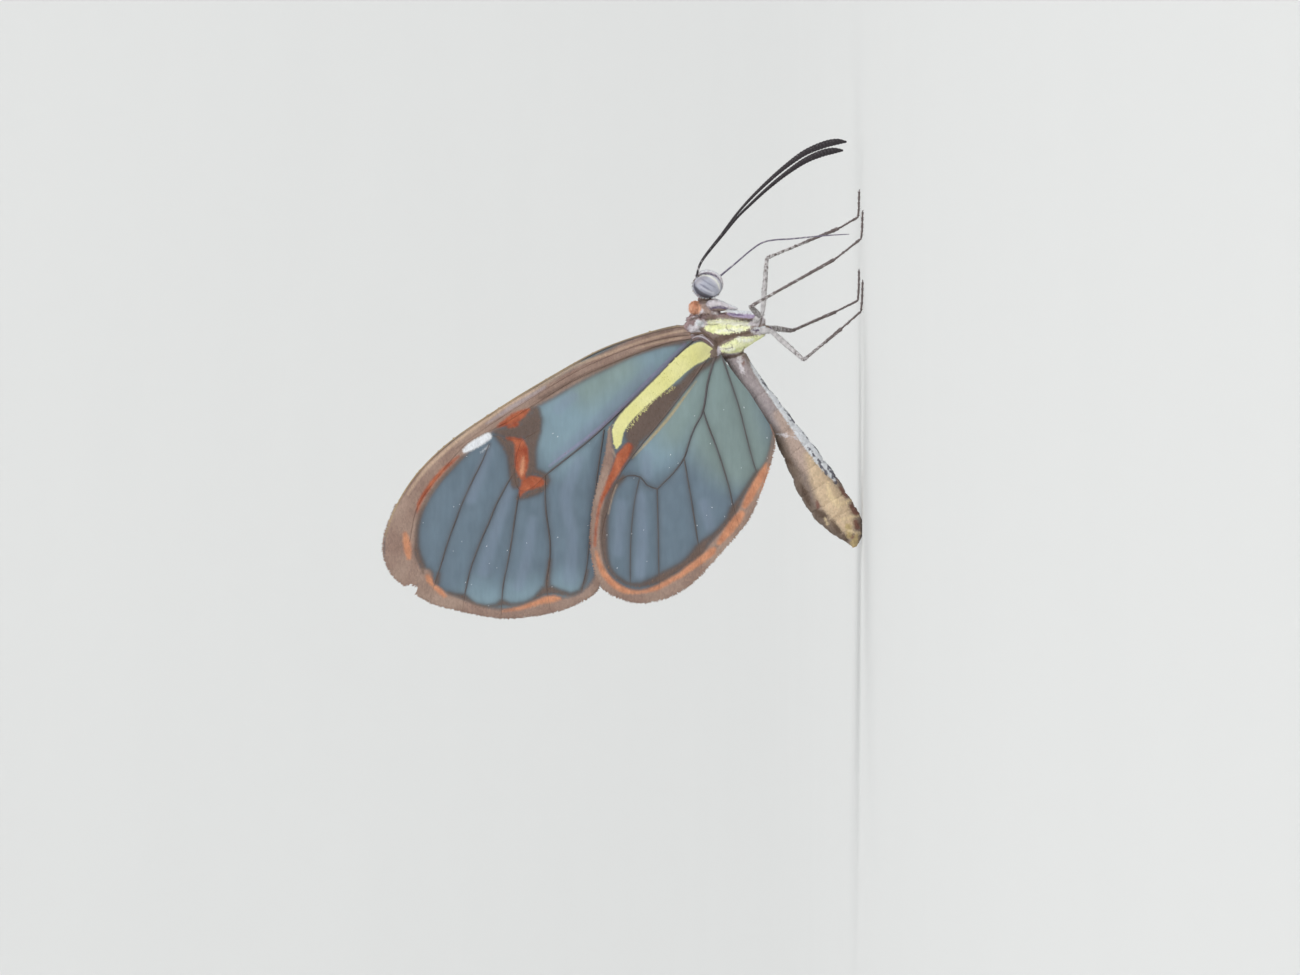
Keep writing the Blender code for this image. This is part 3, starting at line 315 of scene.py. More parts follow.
# Body markings as brush strokes of (x, z, half width), seen from the side
BODY_MARKS = {
    "brown": [
        [(-2.6, 6.25, 0.10), (-3.4, 5.8, 0.18), (-4.2, 5.4, 0.26), (-5.0, 5.0, 0.36), (-6.0, 4.5, 0.42),
         (-7.0, 4.05, 0.42), (-8.2, 3.4, 0.34), (-9.6, 2.0, 0.30), (-10.3, 1.1, 0.24)],
        [(2.6, 8.6, 0.24), (2.72, 7.9, 0.18), (2.85, 7.1, 0.12), (2.86, 6.5, 0.08)],
        [(1.5, 9.25, 0.20), (2.2, 9.15, 0.30)],
    ],
    "mauve": [
        [(1.7, 11.0, 0.60), (2.8, 11.3, 0.50), (3.6, 11.1, 0.45), (3.8, 10.5, 0.36), (4.0, 10.1, 0.35),
         (4.2, 9.8, 0.36), (4.0, 9.4, 0.28), (4.0, 8.9, 0.20), (3.95, 8.5, 0.12)],
        [(2.5, 10.6, 0.40), (2.5, 10.0, 0.40), (2.3, 9.6, 0.25)],
        [(4.7, 10.5, 0.35), (5.3, 10.7, 0.40), (5.9, 11.0, 0.40)],
    ],
    "lilac": [
        [(1.3, 8.1, 0.55), (0.2, 7.4, 0.55), (-1.0, 6.6, 0.52), (-2.2, 5.75, 0.50), (-3.0, 5.2, 0.35)],
        [(2.82, 6.7, 0.09), (2.86, 6.2, 0.09)],
    ],
    "pink": [
        [(-2.4, 5.2, 0.40), (-3.6, 4.5, 0.45), (-4.6, 3.95, 0.50), (-5.6, 3.4, 0.45)],
        [(4.32, 9.98, 0.20), (4.18, 9.72, 0.12)],
    ],
    "tan": [
        [(-4.9, 3.4, 0.20), (-5.8, 3.0, 0.45), (-6.8, 2.5, 0.65), (-8.0, 1.75, 0.80), (-9.2, 1.05, 0.60)],
    ],
    "purple": [
        [(4.02, 8.5, 0.07), (3.96, 8.1, 0.13), (3.91, 7.5, 0.16), (3.87, 7.0, 0.15), (3.86, 6.7, 0.10)],
    ],
    "plum": [
        [(4.36, 9.60, 0.04), (4.45, 9.35, 0.08), (4.46, 9.05, 0.09), (4.40, 8.75, 0.07), (4.34, 8.5, 0.03)],
        [(4.05, 8.5, 0.02), (3.98, 8.1, 0.05), (3.94, 7.6, 0.03)],
        [(3.05, 5.85, 0.08), (3.22, 5.78, 0.08)],
        [(3.02, 7.1, 0.03), (2.99, 6.6, 0.06), (2.95, 6.15, 0.04)],
    ],
    "orange": [
        [(4.45, 10.62, 0.42), (4.35, 10.45, 0.30)],
    ],
    "yellow": [
        [(3.14, 9.72, 0.24), (3.24, 9.5, 0.40), (3.22, 9.0, 0.50), (3.20, 8.5, 0.46), (3.22, 8.0, 0.38),
         (3.24, 7.6, 0.33), (3.26, 7.3, 0.22)],
        [(1.84, 8.75, 0.26), (1.88, 8.35, 0.37), (2.03, 7.9, 0.44), (2.15, 7.5, 0.42), (2.33, 7.0, 0.28),
         (2.55, 6.5, 0.14), (2.66, 6.2, 0.06)],
    ],
    "ivory": [
        [(3.50, 9.6, 0.08), (3.55, 8.9, 0.14), (3.48, 8.2, 0.16), (3.42, 7.5, 0.16), (3.36, 7.2, 0.18)],
        [(2.90, 9.2, 0.05), (3.0, 8.3, 0.08), (3.05, 7.6, 0.06)],
        [(2.38, 7.75, 0.12), (2.30, 7.25, 0.10), (2.42, 6.9, 0.08)],
        [(1.75, 8.7, 0.08), (1.80, 8.2, 0.10)],
    ],
    # Whitish scales, partly real and partly painted highlights on the chest's lobes, tegulae and waist
    "frost": [
        [(3.15, 10.7, 0.16), (3.30, 10.45, 0.20), (3.42, 10.15, 0.22), (3.40, 9.95, 0.14)],
        [(2.75, 10.9, 0.10), (2.95, 10.5, 0.12), (2.7, 10.1, 0.08)],
        [(3.75, 10.75, 0.05), (3.95, 10.35, 0.08), (4.2, 10.1, 0.06)],
        [(4.10, 9.45, 0.05), (4.05, 9.1, 0.06)],
        [(4.66, 9.55, 0.22), (4.68, 9.1, 0.20), (4.56, 8.6, 0.14), (4.42, 8.1, 0.08)],
        [(3.42, 7.0, 0.16), (3.46, 6.7, 0.20), (3.6, 6.3, 0.16), (4.0, 6.25, 0.14)],
        [(-3.55, 5.35, 0.02), (-3.7, 4.6, 0.07), (-3.85, 3.9, 0.05)],
        [(1.55, 8.95, 0.04), (1.9, 8.98, 0.05)],
        [(1.25, 7.75, 0.14), (0.85, 7.65, 0.16), (0.4, 7.6, 0.10)],
        [(2.9, 7.0, 0.05), (2.8, 6.5, 0.08)],
    ],
    "pale": [
        [(3.12, 10.85, 0.20), (3.08, 10.45, 0.18)],
        [(2.60, 10.42, 0.05), (2.52, 9.95, 0.05)],
        [(1.38, 9.06, 0.10), (1.88, 9.08, 0.08)],
        [(4.66, 9.6, 0.26), (4.62, 9.0, 0.26), (4.52, 8.5, 0.20), (4.40, 8.0, 0.10)],
        [(5.2, 9.05, 0.15), (5.9, 8.85, 0.25), (6.5, 9.1, 0.30)],
    ],
    "gold": [
        [(-9.9, 0.35, 0.10), (-10.4, 0.5, 0.25), (-10.8, 0.4, 0.25)],
        [(-9.4, 0.9, 0.20), (-10.0, 0.8, 0.20)],
    ],
    "glow": [
        [(-6.6, 2.2, 0.05), (-7.4, 2.05, 0.20), (-7.9, 1.65, 0.22), (-8.15, 1.5, 0.10)],
        [(-7.66, 0.5, 0.06), (-7.80, 0.95, 0.10), (-8.05, 1.5, 0.10)],
        [(-8.72, 0.1, 0.05), (-8.78, 0.7, 0.09), (-8.95, 1.3, 0.07)],
        [(-9.8, 0.1, 0.05), (-9.75, 0.6, 0.08), (-9.6, 1.0, 0.05)],
        [(-8.9, 2.35, 0.05), (-9.25, 2.2, 0.08)],
    ],
    "rust": [
        [(0.88, 7.52, 0.08), (0.98, 7.46, 0.06)],
        [(1.25, 7.56, 0.04), (1.32, 7.5, 0.04)],
        [(-6.95, 1.40, 0.08), (-7.25, 1.18, 0.16), (-7.5, 1.0, 0.12)],
        [(-8.1, 0.70, 0.14), (-8.45, 0.52, 0.20), (-8.6, 0.3, 0.14)],
        [(-9.1, 0.42, 0.12), (-9.45, 0.3, 0.16)],
        [(-7.8, 2.85, 0.08), (-8.15, 2.8, 0.14)],
        [(-10.0, 0.62, 0.04), (-10.1, 0.6, 0.05)],
    ],
    "white": [
        [(1.7, 7.05, 0.08), (1.0, 7.0, 0.12), (0.3, 6.68, 0.15), (-0.3, 6.25, 0.19), (-1.2, 5.6, 0.23),
         (-2.2, 4.88, 0.24), (-3.2, 4.18, 0.26), (-4.2, 3.42, 0.33), (-5.2, 2.66, 0.32), (-5.9, 2.15, 0.24),
         (-6.5, 1.75, 0.06)],
        [(3.44, 10.35, 0.19), (3.40, 10.15, 0.16)],
        [(5.02, 9.3, 0.08), (4.93, 9.0, 0.10), (4.76, 8.6, 0.10), (4.56, 8.25, 0.09), (4.40, 7.97, 0.07)],
        [(4.22, 8.58, 0.08), (4.18, 8.0, 0.13), (4.15, 7.4, 0.14), (4.10, 6.85, 0.14), (4.05, 6.55, 0.10)],
        [(3.06, 6.95, 0.05), (3.13, 6.5, 0.08), (3.2, 6.15, 0.05)],
    ],
    "dark": [
        *CHEST_SEAMS,
        [(3.34, 9.85, 0.030), (3.34, 9.5, 0.025), (3.36, 9.12, 0.025)],
        [(2.92, 8.42, 0.015), (3.12, 8.6, 0.025), (3.36, 8.56, 0.015)],
        [(2.9, 8.05, 0.015), (3.0, 8.35, 0.02)],
        [(3.2, 7.8, 0.01), (3.3, 7.55, 0.02), (3.28, 7.3, 0.01)],
        [(1.86, 8.88, 0.015), (1.80, 8.5, 0.025), (1.92, 8.2, 0.02), (2.12, 8.26, 0.015)],
        [(1.55, 7.8, 0.02), (1.75, 7.5, 0.03), (1.92, 7.46, 0.02)],
    ],
    "patch": [
        [(-4.0, 5.45, 0.10), (-4.3, 5.2, 0.08)],
        [(-5.25, 4.65, 0.12), (-5.4, 4.5, 0.10)],
        [(-6.8, 3.85, 0.10), (-7.3, 3.65, 0.20), (-7.85, 3.4, 0.18)],
        [(-8.45, 2.85, 0.15), (-8.65, 2.5, 0.24), (-8.8, 2.35, 0.18)],
        [(-9.1, 1.85, 0.12), (-9.4, 1.7, 0.16), (-9.75, 1.45, 0.14)],
        [(-9.95, 1.2, 0.10), (-10.2, 1.0, 0.12)],
    ],
    "fleck": [
        [(0.3, 6.5, 0.02), (-0.35, 6.12, 0.06), (-1.1, 5.45, 0.05), (-1.8, 4.9, 0.08), (-2.6, 4.36, 0.12),
         (-3.2, 3.85, 0.05), (-4.1, 3.15, 0.06), (-5.1, 2.35, 0.10), (-5.9, 1.88, 0.14), (-6.6, 1.6, 0.12)],
        [(-4.5, 3.35, 0.01), (-5.3, 2.75, 0.03), (-6.0, 2.3, 0.05)],
    ],
}
# Softness and raggedness of each marking's edge, in millimetres, and how strongly it covers what is under it;
# each marking lies over those before it
WING_EDGES = {
    "border": (0.17, 0.16, 1.0), "dark": (0.17, 0.14, 0.90), "ember": (0.12, 0.12, 1.0), "orange": (0.13, 0.12, 1.0),
    "violet": (0.14, 0.05, 0.8), "pale": (0.12, 0.12, 0.45), "cream": (0.12, 0.05, 0.8), "gold": (0.07, 0.06, 0.75),
    "yellow": (0.06, 0.10, 1.0), "white": (0.10, 0.16, 1.0),
}
BODY_EDGES = {
    "brown": (0.22, 0.20, 1.0), "mauve": (0.20, 0.25, 1.0), "lilac": (0.30, 0.20, 0.9), "pink": (0.25, 0.20, 0.9),
    "tan": (0.30, 0.20, 1.0), "patch": (0.14, 0.30, 0.90), "ring": (0.06, 0.10, 0.25), "orange": (0.15, 0.20, 1.0),
    "yellow": (0.05, 0.10, 1.0), "ivory": (0.14, 0.40, 0.9), "pale": (0.07, 0.14, 1.0), "frost": (0.09, 0.50, 0.9),
    "purple": (0.06, 0.10, 1.0), "plum": (0.06, 0.10, 0.9), "gold": (0.10, 0.16, 0.9), "glow": (0.10, 0.15, 0.85),
    "rust": (0.10, 0.30, 0.85), "white": (0.06, 0.25, 1.0), "dark": (0.045, 0.08, 0.85), "fleck": (0.04, 0.80, 0.85),
}
EYE_EDGES = {
    "painted_shade": (0.25, 0.10, 0.8), "light": (0.16, 0.06, 0.8), "stripe": (0.07, 0.06, 0.85), "band": (0.06, 0.06, 0.75),
    "rim": (0.09, 0.05, 1.0),
}
# How far along the body the joints of the abdomen are, where the chest ends, and the whole length on the unwrap
RINGS = (8.6, 10.0, 11.4, 12.8, 14.2, 15.5, 16.7, 17.7, 18.8)
CHEST_END = 7.6
UNWRAP_LENGTH = 20.5
# Where along the body its scales stand out, over how far and how much: the neck and the back of the chest
LOOSE_SCALES = ((1.9, 0.7, 1.0), (6.6, 0.8, 0.6))
# Relief of the body's skin, as (height, width) in millimetres, and how deep it lies under the solids for its coat
JOINT_GROOVE = (0.04, 0.08)
RING_SWELL = (0.05, 0.7)
CHEST_SEAM = (0.05, 0.1)
CHEST_PLATE = (0.07, 0.25)
COAT_DEPTH = 0.02

# The body's middle line from the face to the abdomen's tip, as (x, z)
SPINE = [
    (6.5, 10.1), (5.7, 9.9), (4.6, 9.9), (3.3, 9.2), (2.2, 8.5), (1.2, 7.8), (-1.0, 6.6), (-4.0, 4.4),
    (-7.0, 2.5), (-9.4, 1.1), (-10.8, 0.4),
]

# Eyes, mouthparts, feelers and legs as (x, y outwards, z, radius)
EYE = {"centre": (5.76, 0.55, 9.80), "radii": (0.73, 0.52, 0.90)}
EYE_MARKS = {
    # Painted shade: the eye darker on its upper rear
    "painted_shade": [
        [(6.35, 9.9, 0.05), (6.2, 10.25, 0.14), (5.95, 10.5, 0.12)],
    ],
    # Painted light: the eye lighter on its lower front
    "light": [
        [(5.5, 9.0, 0.03), (5.9, 9.05, 0.14), (6.2, 9.3, 0.18), (6.35, 9.6, 0.08)],
        [(5.32, 9.4, 0.01), (5.5, 9.75, 0.04), (5.72, 10.1, 0.03)],
    ],
    "stripe": [
        [(5.42, 9.48, 0.01), (5.58, 9.75, 0.06), (5.76, 10.02, 0.07), (5.9, 10.25, 0.02)],
        [(5.66, 9.25, 0.005), (5.86, 9.6, 0.03), (6.1, 9.98, 0.03), (6.25, 10.2, 0.005)],
        [(5.24, 9.55, 0.01), (5.38, 9.9, 0.03), (5.58, 10.2, 0.02)],
    ],
    "band": [
        [(6.36, 10.36, 0.02), (6.47, 9.96, 0.04), (6.38, 9.58, 0.05), (6.14, 9.26, 0.05), (5.87, 9.07, 0.05),
         (5.6, 9.02, 0.02)],
    ],
    "rim": [
        [(5.05, 9.32, 0.04), (5.09, 9.7, 0.12), (5.20, 10.08, 0.17), (5.42, 10.38, 0.15), (5.72, 10.6, 0.09),
         (6.05, 10.62, 0.03)],
    ],
}
PALP = [(5.45, 0.20, 8.98, 0.05), (5.85, 0.27, 8.90, 0.13), (6.30, 0.32, 9.08, 0.17), (6.58, 0.33, 9.50, 0.17),
        (6.66, 0.30, 9.92, 0.14), (6.58, 0.27, 10.26, 0.10), (6.45, 0.25, 10.52, 0.04)]
# Seen from the side, as brush strokes of (x, z, half width)
PALP_STREAK = [(6.1, 8.98, 0.02), (6.42, 9.25, 0.05), (6.58, 9.65, 0.05), (6.56, 10.05, 0.05), (6.46, 10.3, 0.02)]
PALP_EDGE = [(6.3, 8.92, 0.03), (6.65, 9.28, 0.06), (6.76, 9.7, 0.06), (6.68, 10.15, 0.05)]
TONGUE = [(6.15, 0.0, 9.20, 0.12), (6.40, 0.0, 8.98, 0.11), (7.20, 0.0, 8.02, 0.09), (8.05, 0.0, 7.02, 0.085),
          (8.52, 0.0, 6.30, 0.085), (8.70, 0.0, 5.50, 0.08), (8.76, 0.0, 4.50, 0.08), (8.86, 0.0, 3.50, 0.075),
          (8.98, 0.0, 2.20, 0.07), (9.06, 0.0, 0.80, 0.04)]
ANTENNAE = {
    "right": [(6.00, 0.22, 10.30, 0.14), (6.28, 0.30, 10.40, 0.12), (6.50, 0.34, 10.43, 0.075),
              (7.10, 0.55, 10.27, 0.07), (7.75, 0.80, 9.88, 0.07), (9.00, 1.25, 8.90, 0.075),
              (10.20, 1.65, 8.00, 0.08), (11.20, 1.95, 7.12, 0.095), (12.20, 2.20, 6.10, 0.115),
              (13.20, 2.40, 4.95, 0.145), (14.10, 2.50, 3.70, 0.19), (14.62, 2.52, 2.50, 0.225),
              (14.82, 2.50, 1.65, 0.20), (14.82, 2.48, 1.02, 0.06)],
    "left": [(6.00, 0.22, 10.30, 0.14), (6.28, 0.30, 10.40, 0.12), (6.50, 0.36, 10.43, 0.075),
             (7.10, 0.60, 10.25, 0.07), (7.75, 0.90, 9.84, 0.07), (9.00, 1.45, 8.82, 0.075),
             (10.15, 1.90, 7.88, 0.08), (11.05, 2.25, 6.98, 0.095), (12.00, 2.55, 5.96, 0.115),
             (12.95, 2.78, 4.80, 0.145), (13.78, 2.90, 3.58, 0.19), (14.25, 2.92, 2.50, 0.225),
             (14.42, 2.90, 1.75, 0.20), (14.44, 2.88, 1.14, 0.06)],
}
# Hip, end of the hip's short joint, knee, ankle, then the foot's joints, as (x, y outwards, z)
LEGS = {
    "midleg_left": [(3.45, 0.42, 6.80), (4.10, 0.90, 6.27), (7.62, 3.20, 5.98), (9.55, 4.65, 1.35),
                    (10.25, 4.98, 0.17), (10.80, 5.15, 0.11), (11.25, 5.30, 0.10), (11.60, 5.40, 0.09),
                    (11.90, 5.49, 0.08)],
    "midleg_right": [(3.45, 0.42, 6.80), (3.90, 0.95, 6.52), (4.42, 4.60, 7.08), (7.40, 5.38, 1.75),
                     (8.65, 5.60, 0.17), (9.20, 5.70, 0.11), (9.65, 5.80, 0.10), (10.00, 5.88, 0.09),
                     (10.30, 5.95, 0.08)],
    "hindleg_left": [(2.95, 0.40, 6.75), (3.15, 0.72, 5.82), (3.02, 4.20, 4.35), (4.25, 5.10, 1.55),
                     (4.95, 5.35, 0.17), (5.55, 5.52, 0.11), (6.05, 5.68, 0.10), (6.45, 5.80, 0.09),
                     (6.80, 5.92, 0.08)],
    "hindleg_right": [(2.95, 0.40, 6.75), (2.95, 0.72, 5.78), (1.08, 3.20, 3.72), (3.05, 4.78, 1.35),
                      (4.10, 5.30, 0.17), (4.70, 5.48, 0.11), (5.15, 5.65, 0.10), (5.55, 5.78, 0.09),
                      (5.90, 5.91, 0.08)],
}
# How pale the scales are at the top of each leg
LEG_PALENESS = {"midleg_left": 0.95, "midleg_right": 0.70, "hindleg_left": 0.55, "hindleg_right": 1.05}
# Radius along a thigh and along a shin, as (share of the length, radius)
THIGH = [(0.0, 0.10), (0.10, 0.15), (0.35, 0.17), (0.75, 0.14), (0.95, 0.12), (1.0, 0.09)]
SHIN = [(0.0, 0.07), (0.04, 0.11), (0.12, 0.085), (0.5, 0.085), (0.88, 0.10), (0.97, 0.11), (1.0, 0.06)]
HIP_JOINT = [(0.0, 0.22), (0.6, 0.20), (0.9, 0.17), (1.0, 0.10)]
FOOT_JOINT = [(0.0, 0.045), (0.15, 0.055), (0.7, 0.065), (0.92, 0.075), (1.0, 0.04)]
FORELEG = [
    [(4.62, 0.40, 9.85, 0.10), (4.62, 0.46, 9.60, 0.30), (4.60, 0.50, 9.35, 0.38), (4.54, 0.52, 9.0, 0.33),
     (4.46, 0.50, 8.5, 0.20), (4.38, 0.46, 8.05, 0.10), (4.37, 0.45, 7.95, 0.04)],
    [(4.10, 0.46, 8.65, 0.05), (4.07, 0.50, 8.4, 0.15), (4.00, 0.54, 8.0, 0.22), (3.94, 0.56, 7.5, 0.26),
     (3.90, 0.54, 7.0, 0.25), (3.87, 0.50, 6.65, 0.20), (3.86, 0.45, 6.45, 0.08)],
]
FORELEG_FLATNESS = 0.62
SPUR = [(0.0, 0.035), (0.6, 0.025), (1.0, 0.008)]
# The tuft of hairs on each side of the collar
COLLAR = {"centre": (4.42, 0.34, 10.46), "radii": (0.36, 0.32, 0.32), "hairs": 1200}
EYE_SCALES = 320
PALP_SCALES = 420
FORELEG_SCALES = 700
# Where the random draws of each coat start
SEEDS = {"skin": 21, "body": 22, "collar": 31, "eye": 41, "hairs": 51, "palp": 61, "foreleg": 71, "leg": 81}


def shade(red, green, blue):
    """A screen colour, 0 to 255, as the linear values that Blender's colours hold."""
    values = [c / 255 for c in (red, green, blue)]
    return [v / 12.92 if v <= 0.04045 else ((v + 0.055) / 1.055) ** 2.4 for v in values]


def colour(name, text, red, green, blue):
    return FloatVectorProperty(
        name=name, description=text, subtype="COLOR", size=3, min=0.0, max=1.0, default=shade(red, green, blue)
    )


class ButterflyColours(bpy.types.PropertyGroup):
    """Colours of the wings, the body and the stage."""

    membrane_blue: colour("Blue membrane", "Darker, bluer stretches of the clear wing", 113, 133, 149)
    membrane_light: colour("Light membrane", "Lighter stretches of the clear wing", 147, 175, 188)
    membrane_green: colour("Green membrane", "Greener stretches of the clear wing", 148, 168, 160)
    # Painted sheen: the lavender light that the membrane's streaks are painted with
    painted_sheen: colour("Membrane streaks", "Lavender light along the folds of the wing", 140, 156, 178)
    smoke: colour("Smoke", "Brown haze beside veins and margins", 84, 80, 80)
    border: colour("Border", "Mauve-brown scales along the wing margins", 144, 118, 106)
    border_pale: colour("Pale border", "Lighter stretches of the margins", 162, 138, 124)
    dark: colour("Dark scales", "Dark brown patches and the inner edge of the border", 104, 84, 74)
    ember: colour("Red-orange scales", "Deep red-orange bands", 148, 64, 36)
    ember_bright: colour("Bright red-orange scales", "Brighter stretches of the deep bands", 186, 106, 72)
    orange: colour("Orange scales", "Orange bands and spots of the margins", 182, 122, 92)
    orange_bright: colour("Bright orange scales", "Brightest stretches of the orange", 208, 146, 110)
    yellow: colour("Yellow scales", "Yellow band of the hindwing", 220, 216, 140)
    yellow_pale: colour("Pale yellow scales", "Lighter stretches of the yellow band", 232, 228, 166)
    violet: colour("Violet line", "Lavender line along the forewing's main vein", 150, 136, 172)
    pale: colour("Pale scales", "Lilac-grey scales", 188, 180, 186)
    cream: colour("Cream scales", "Light line along the forewing's front edge", 208, 180, 154)
    gold: colour("Gold scales", "Olive-gold edge scales", 186, 164, 118)
    white: colour("White scales", "White patches and edges", 224, 226, 230)
    vein: colour("Veins", "Wing veins", 94, 98, 104)
    chest: colour("Chest yellow", "Pale yellow plates of the chest", 252, 252, 214)
    chest_deep: colour("Deep chest yellow", "Deeper yellow of the chest plates", 232, 236, 170)
    ivory: colour("Ivory scales", "Nearly white patches on the chest plates", 250, 250, 236)
    tan: colour("Tan scales", "Flanks of the abdomen", 212, 188, 158)
    pink: colour("Pink scales", "Pinkish flank of the abdomen", 190, 168, 156)
    lilac: colour("Lilac scales", "Lilac-grey flank near the waist", 178, 167, 169)
    mauve: colour("Mauve scales", "Between the plates of the chest", 152, 130, 130)
    # Real whitish scales, and painted highlights on the chest and waist
    frost: colour("Frosted scales", "Whitish scales scattered over the chest and waist", 222, 216, 220)
    purple: colour("Purple scales", "Purple edges of the chest", 184, 168, 196)
    plum: colour("Plum scales", "Dark purple lines of the chest", 88, 72, 108)
    collar: colour("Collar", "Orange hairs behind the head", 214, 156, 126)
    collar_pale: colour("Pale collar", "Paler hairs of the collar", 232, 186, 156)
    ivory_tan: colour("Cream of the abdomen", "Lightest stretches near the abdomen's tip", 228, 206, 168)
    bark: colour("Dark patches", "Dark patches near the abdomen's tip", 92, 74, 62)
    rust: colour("Rust spots", "Reddish-brown spots", 126, 84, 72)
    fleck: colour("Flecks", "Dark flecks on the white underside", 78, 76, 90)
    brown: colour("Brown scales", "Back of the body", 122, 106, 94)
    body: colour("Body", "Body between the markings", 156, 140, 132)
    eye: colour("Eye", "Lilac-grey of the eye", 176, 178, 191)
    # Painted light on the eye's lower front and painted shade on its upper rear
    eye_painted_light: colour("Light of the eye", "Lower front of the eye", 222, 220, 226)
    eye_painted_shade: colour("Dusk of the eye", "Upper rear of the eye", 150, 142, 148)
    eye_stripe: colour("Eye stripes", "Dark stripes across the eye", 118, 118, 138)
    eye_rim: colour("Eye rim", "Dark upper rim of the eye", 78, 76, 86)
    feeler: colour("Feelers", "Near-black feelers", 52, 46, 50)
    tongue: colour("Tongue", "Lavender-grey tongue", 118, 110, 128)
    leg: colour("Legs", "Grey-brown legs", 112, 100, 98)
    leg_pale: colour("Pale leg scales", "Pale scales that mottle the legs", 206, 202, 202)
    floor: colour("Floor", "Pale studio floor", 216, 216, 214)


class ButterflySizes(bpy.types.PropertyGroup):
    """Sizes of the fine detail, in millimetres unless a name says otherwise."""

    cell: FloatProperty(name="Wing mesh cell", description="Spacing of the wing's mesh", default=0.09, min=0.05)
    membrane: FloatProperty(name="Membrane", description="Thickness of the wing", default=0.035, min=0.01)
    billow: FloatProperty(name="Billow", description="How far the membrane bulges between veins", default=0.07)
    spread: FloatProperty(name="Spread", description="Outward lean for each millimetre from the root", default=0.015)
    vein: FloatProperty(name="Vein", description="Share of the veins' full radius", default=0.80, min=0.1)
    clear: FloatProperty(name="Clearness", description="Share of light that one face of membrane stops", default=0.60)
    voxel: FloatProperty(name="Skin cell", description="Spacing of the body's mesh", default=0.055, min=0.03)
    scale_length: FloatProperty(name="Scale", description="Length of a body scale", default=0.13, min=0.05)
    fringe: FloatProperty(name="Fringe", description="Length of the scales on the wing's edge", default=0.16)
    body_scales: IntProperty(name="Body scales", description="Number of scales on the body", default=13000, min=100)
    wing_scales: IntProperty(name="Wing scales", description="Scales for each square millimetre of marking",
                             default=26, min=1)
    leg_scales: IntProperty(name="Leg scales", description="Number of scales on each leg", default=900, min=10)


def settings():
    return bpy.context.scene.butterfly_sizes


def colours():
    return bpy.context.scene.butterfly_colours


# Paths and fields

# The depth of places far outside a marking, and how finely strokes are followed, in millimetres
OUTSIDE = -5.0
STROKE_STEP = 0.5


def smooth_path(points, step):
    """Points about one step apart along a Catmull-Rom curve through the given points."""
    knots = [np.array(p, dtype=float) for p in points]
    knots = [2 * knots[0] - knots[1], *knots, 2 * knots[-1] - knots[-2]]
    path = []
    for a, b, c, d in zip(knots, knots[1:], knots[2:], knots[3:]):
        spans = max(1, round(float(np.linalg.norm(c - b)) / step))
        for i in range(spans):
            t = i / spans
            path.append(0.5 * (2 * b + (c - a) * t + (2 * a - 5 * b + 4 * c - d) * t**2
                               + (3 * b - 3 * c + d - a) * t**3))
    return np.array([*path, knots[-2]])


def lengths_along(line):
    """The length along a line at each of its points."""
    return np.concatenate([[0.0], np.cumsum(np.linalg.norm(np.diff(line, axis=0), axis=1))])


def closed_outline(stretches, step):
    """A closed line from stretches of (points, smooth or straight)."""
    runs = [smooth_path(points, step) if smooth else np.array(points) for points, smooth in stretches]
    line = np.vstack(runs)
    gaps = np.linalg.norm(line - np.roll(line, -1, axis=0), axis=1)
    return line[gaps > step * 0.1]


def nearest(places, line):
    """The distance of each place from an open line, with the nearest point and its length along the line."""
    best = np.full(len(places), np.inf)
    foot = np.zeros((len(places), line.shape[1]))
    length = np.zeros(len(places))
    start = 0.0
    for a, b in zip(line, line[1:]):
        along = (b - a)[:2]
        span = float(np.linalg.norm(along))
        t = np.clip((places[:, :2] - a[:2]) @ along / max(span**2, 1e-12), 0, 1)
        gap = np.linalg.norm(places[:, :2] - (a[:2] + t[:, None] * along), axis=1)
        closer = gap < best
        best[closer] = gap[closer]
        foot[closer] = (a + t[:, None] * (b - a))[closer]
        length[closer] = (start + t * span)[closer]
        start += span
    return best, foot, length


def stroke_depth(places, strokes):
    """How far inside the nearest brush stroke each place is, in millimetres, negative outside."""
    depth = np.full(len(places), OUTSIDE)
    for stroke in strokes:
        line = smooth_path(stroke, STROKE_STEP)
        for a, b in zip(line, line[1:]):
            along = (b - a)[:2]
            t = np.clip((places - a[:2]) @ along / max(float(along @ along), 1e-12), 0, 1)
            gap = np.linalg.norm(places - (a[:2] + t[:, None] * along), axis=1)
            depth = np.maximum(depth, a[2] + (b[2] - a[2]) * t - gap)
    return depth


def inside(places, outline):
    """True for each place within a closed outline, by counting crossings."""
    hits = np.zeros(len(places), dtype=bool)
    for a, b in zip(outline, np.roll(outline, -1, axis=0)):
        if a[1] == b[1]:
            continue
        crosses = (a[1] > places[:, 1]) != (b[1] > places[:, 1])
        at = a[0] + (places[:, 1] - a[1]) / (b[1] - a[1]) * (b[0] - a[0])
        hits ^= crosses & (places[:, 0] < at)
    return hits


def hump(places, centre, width):
    """1 at the centre, falling off smoothly over about one width."""
    return np.exp(-((np.linalg.norm(places - np.array(centre), axis=1) / width) ** 2))


# Objects

def deselect():
    if bpy.context.object and bpy.context.object.mode != "OBJECT":
        bpy.ops.object.mode_set(mode="OBJECT")
    bpy.ops.object.select_all(action="DESELECT")


def pick(*objects):
    deselect()
    for one in objects:
        one.select_set(True)
    bpy.context.view_layer.objects.active = objects[0]
    return objects[0]


def joined(name, objects):
    made = pick(*objects)
    if len(objects) > 1:
        bpy.ops.object.join()
    made.name = made.data.name = name
    return made


def added(name):
    """The object that the last operator added, under its new name."""
    made = bpy.context.object
    made.name = made.data.name = name
    return made


def points_of(obj):
    values = np.empty(len(obj.data.vertices) * 3)
    obj.data.vertices.foreach_get("co", values)
    return values.reshape(-1, 3)


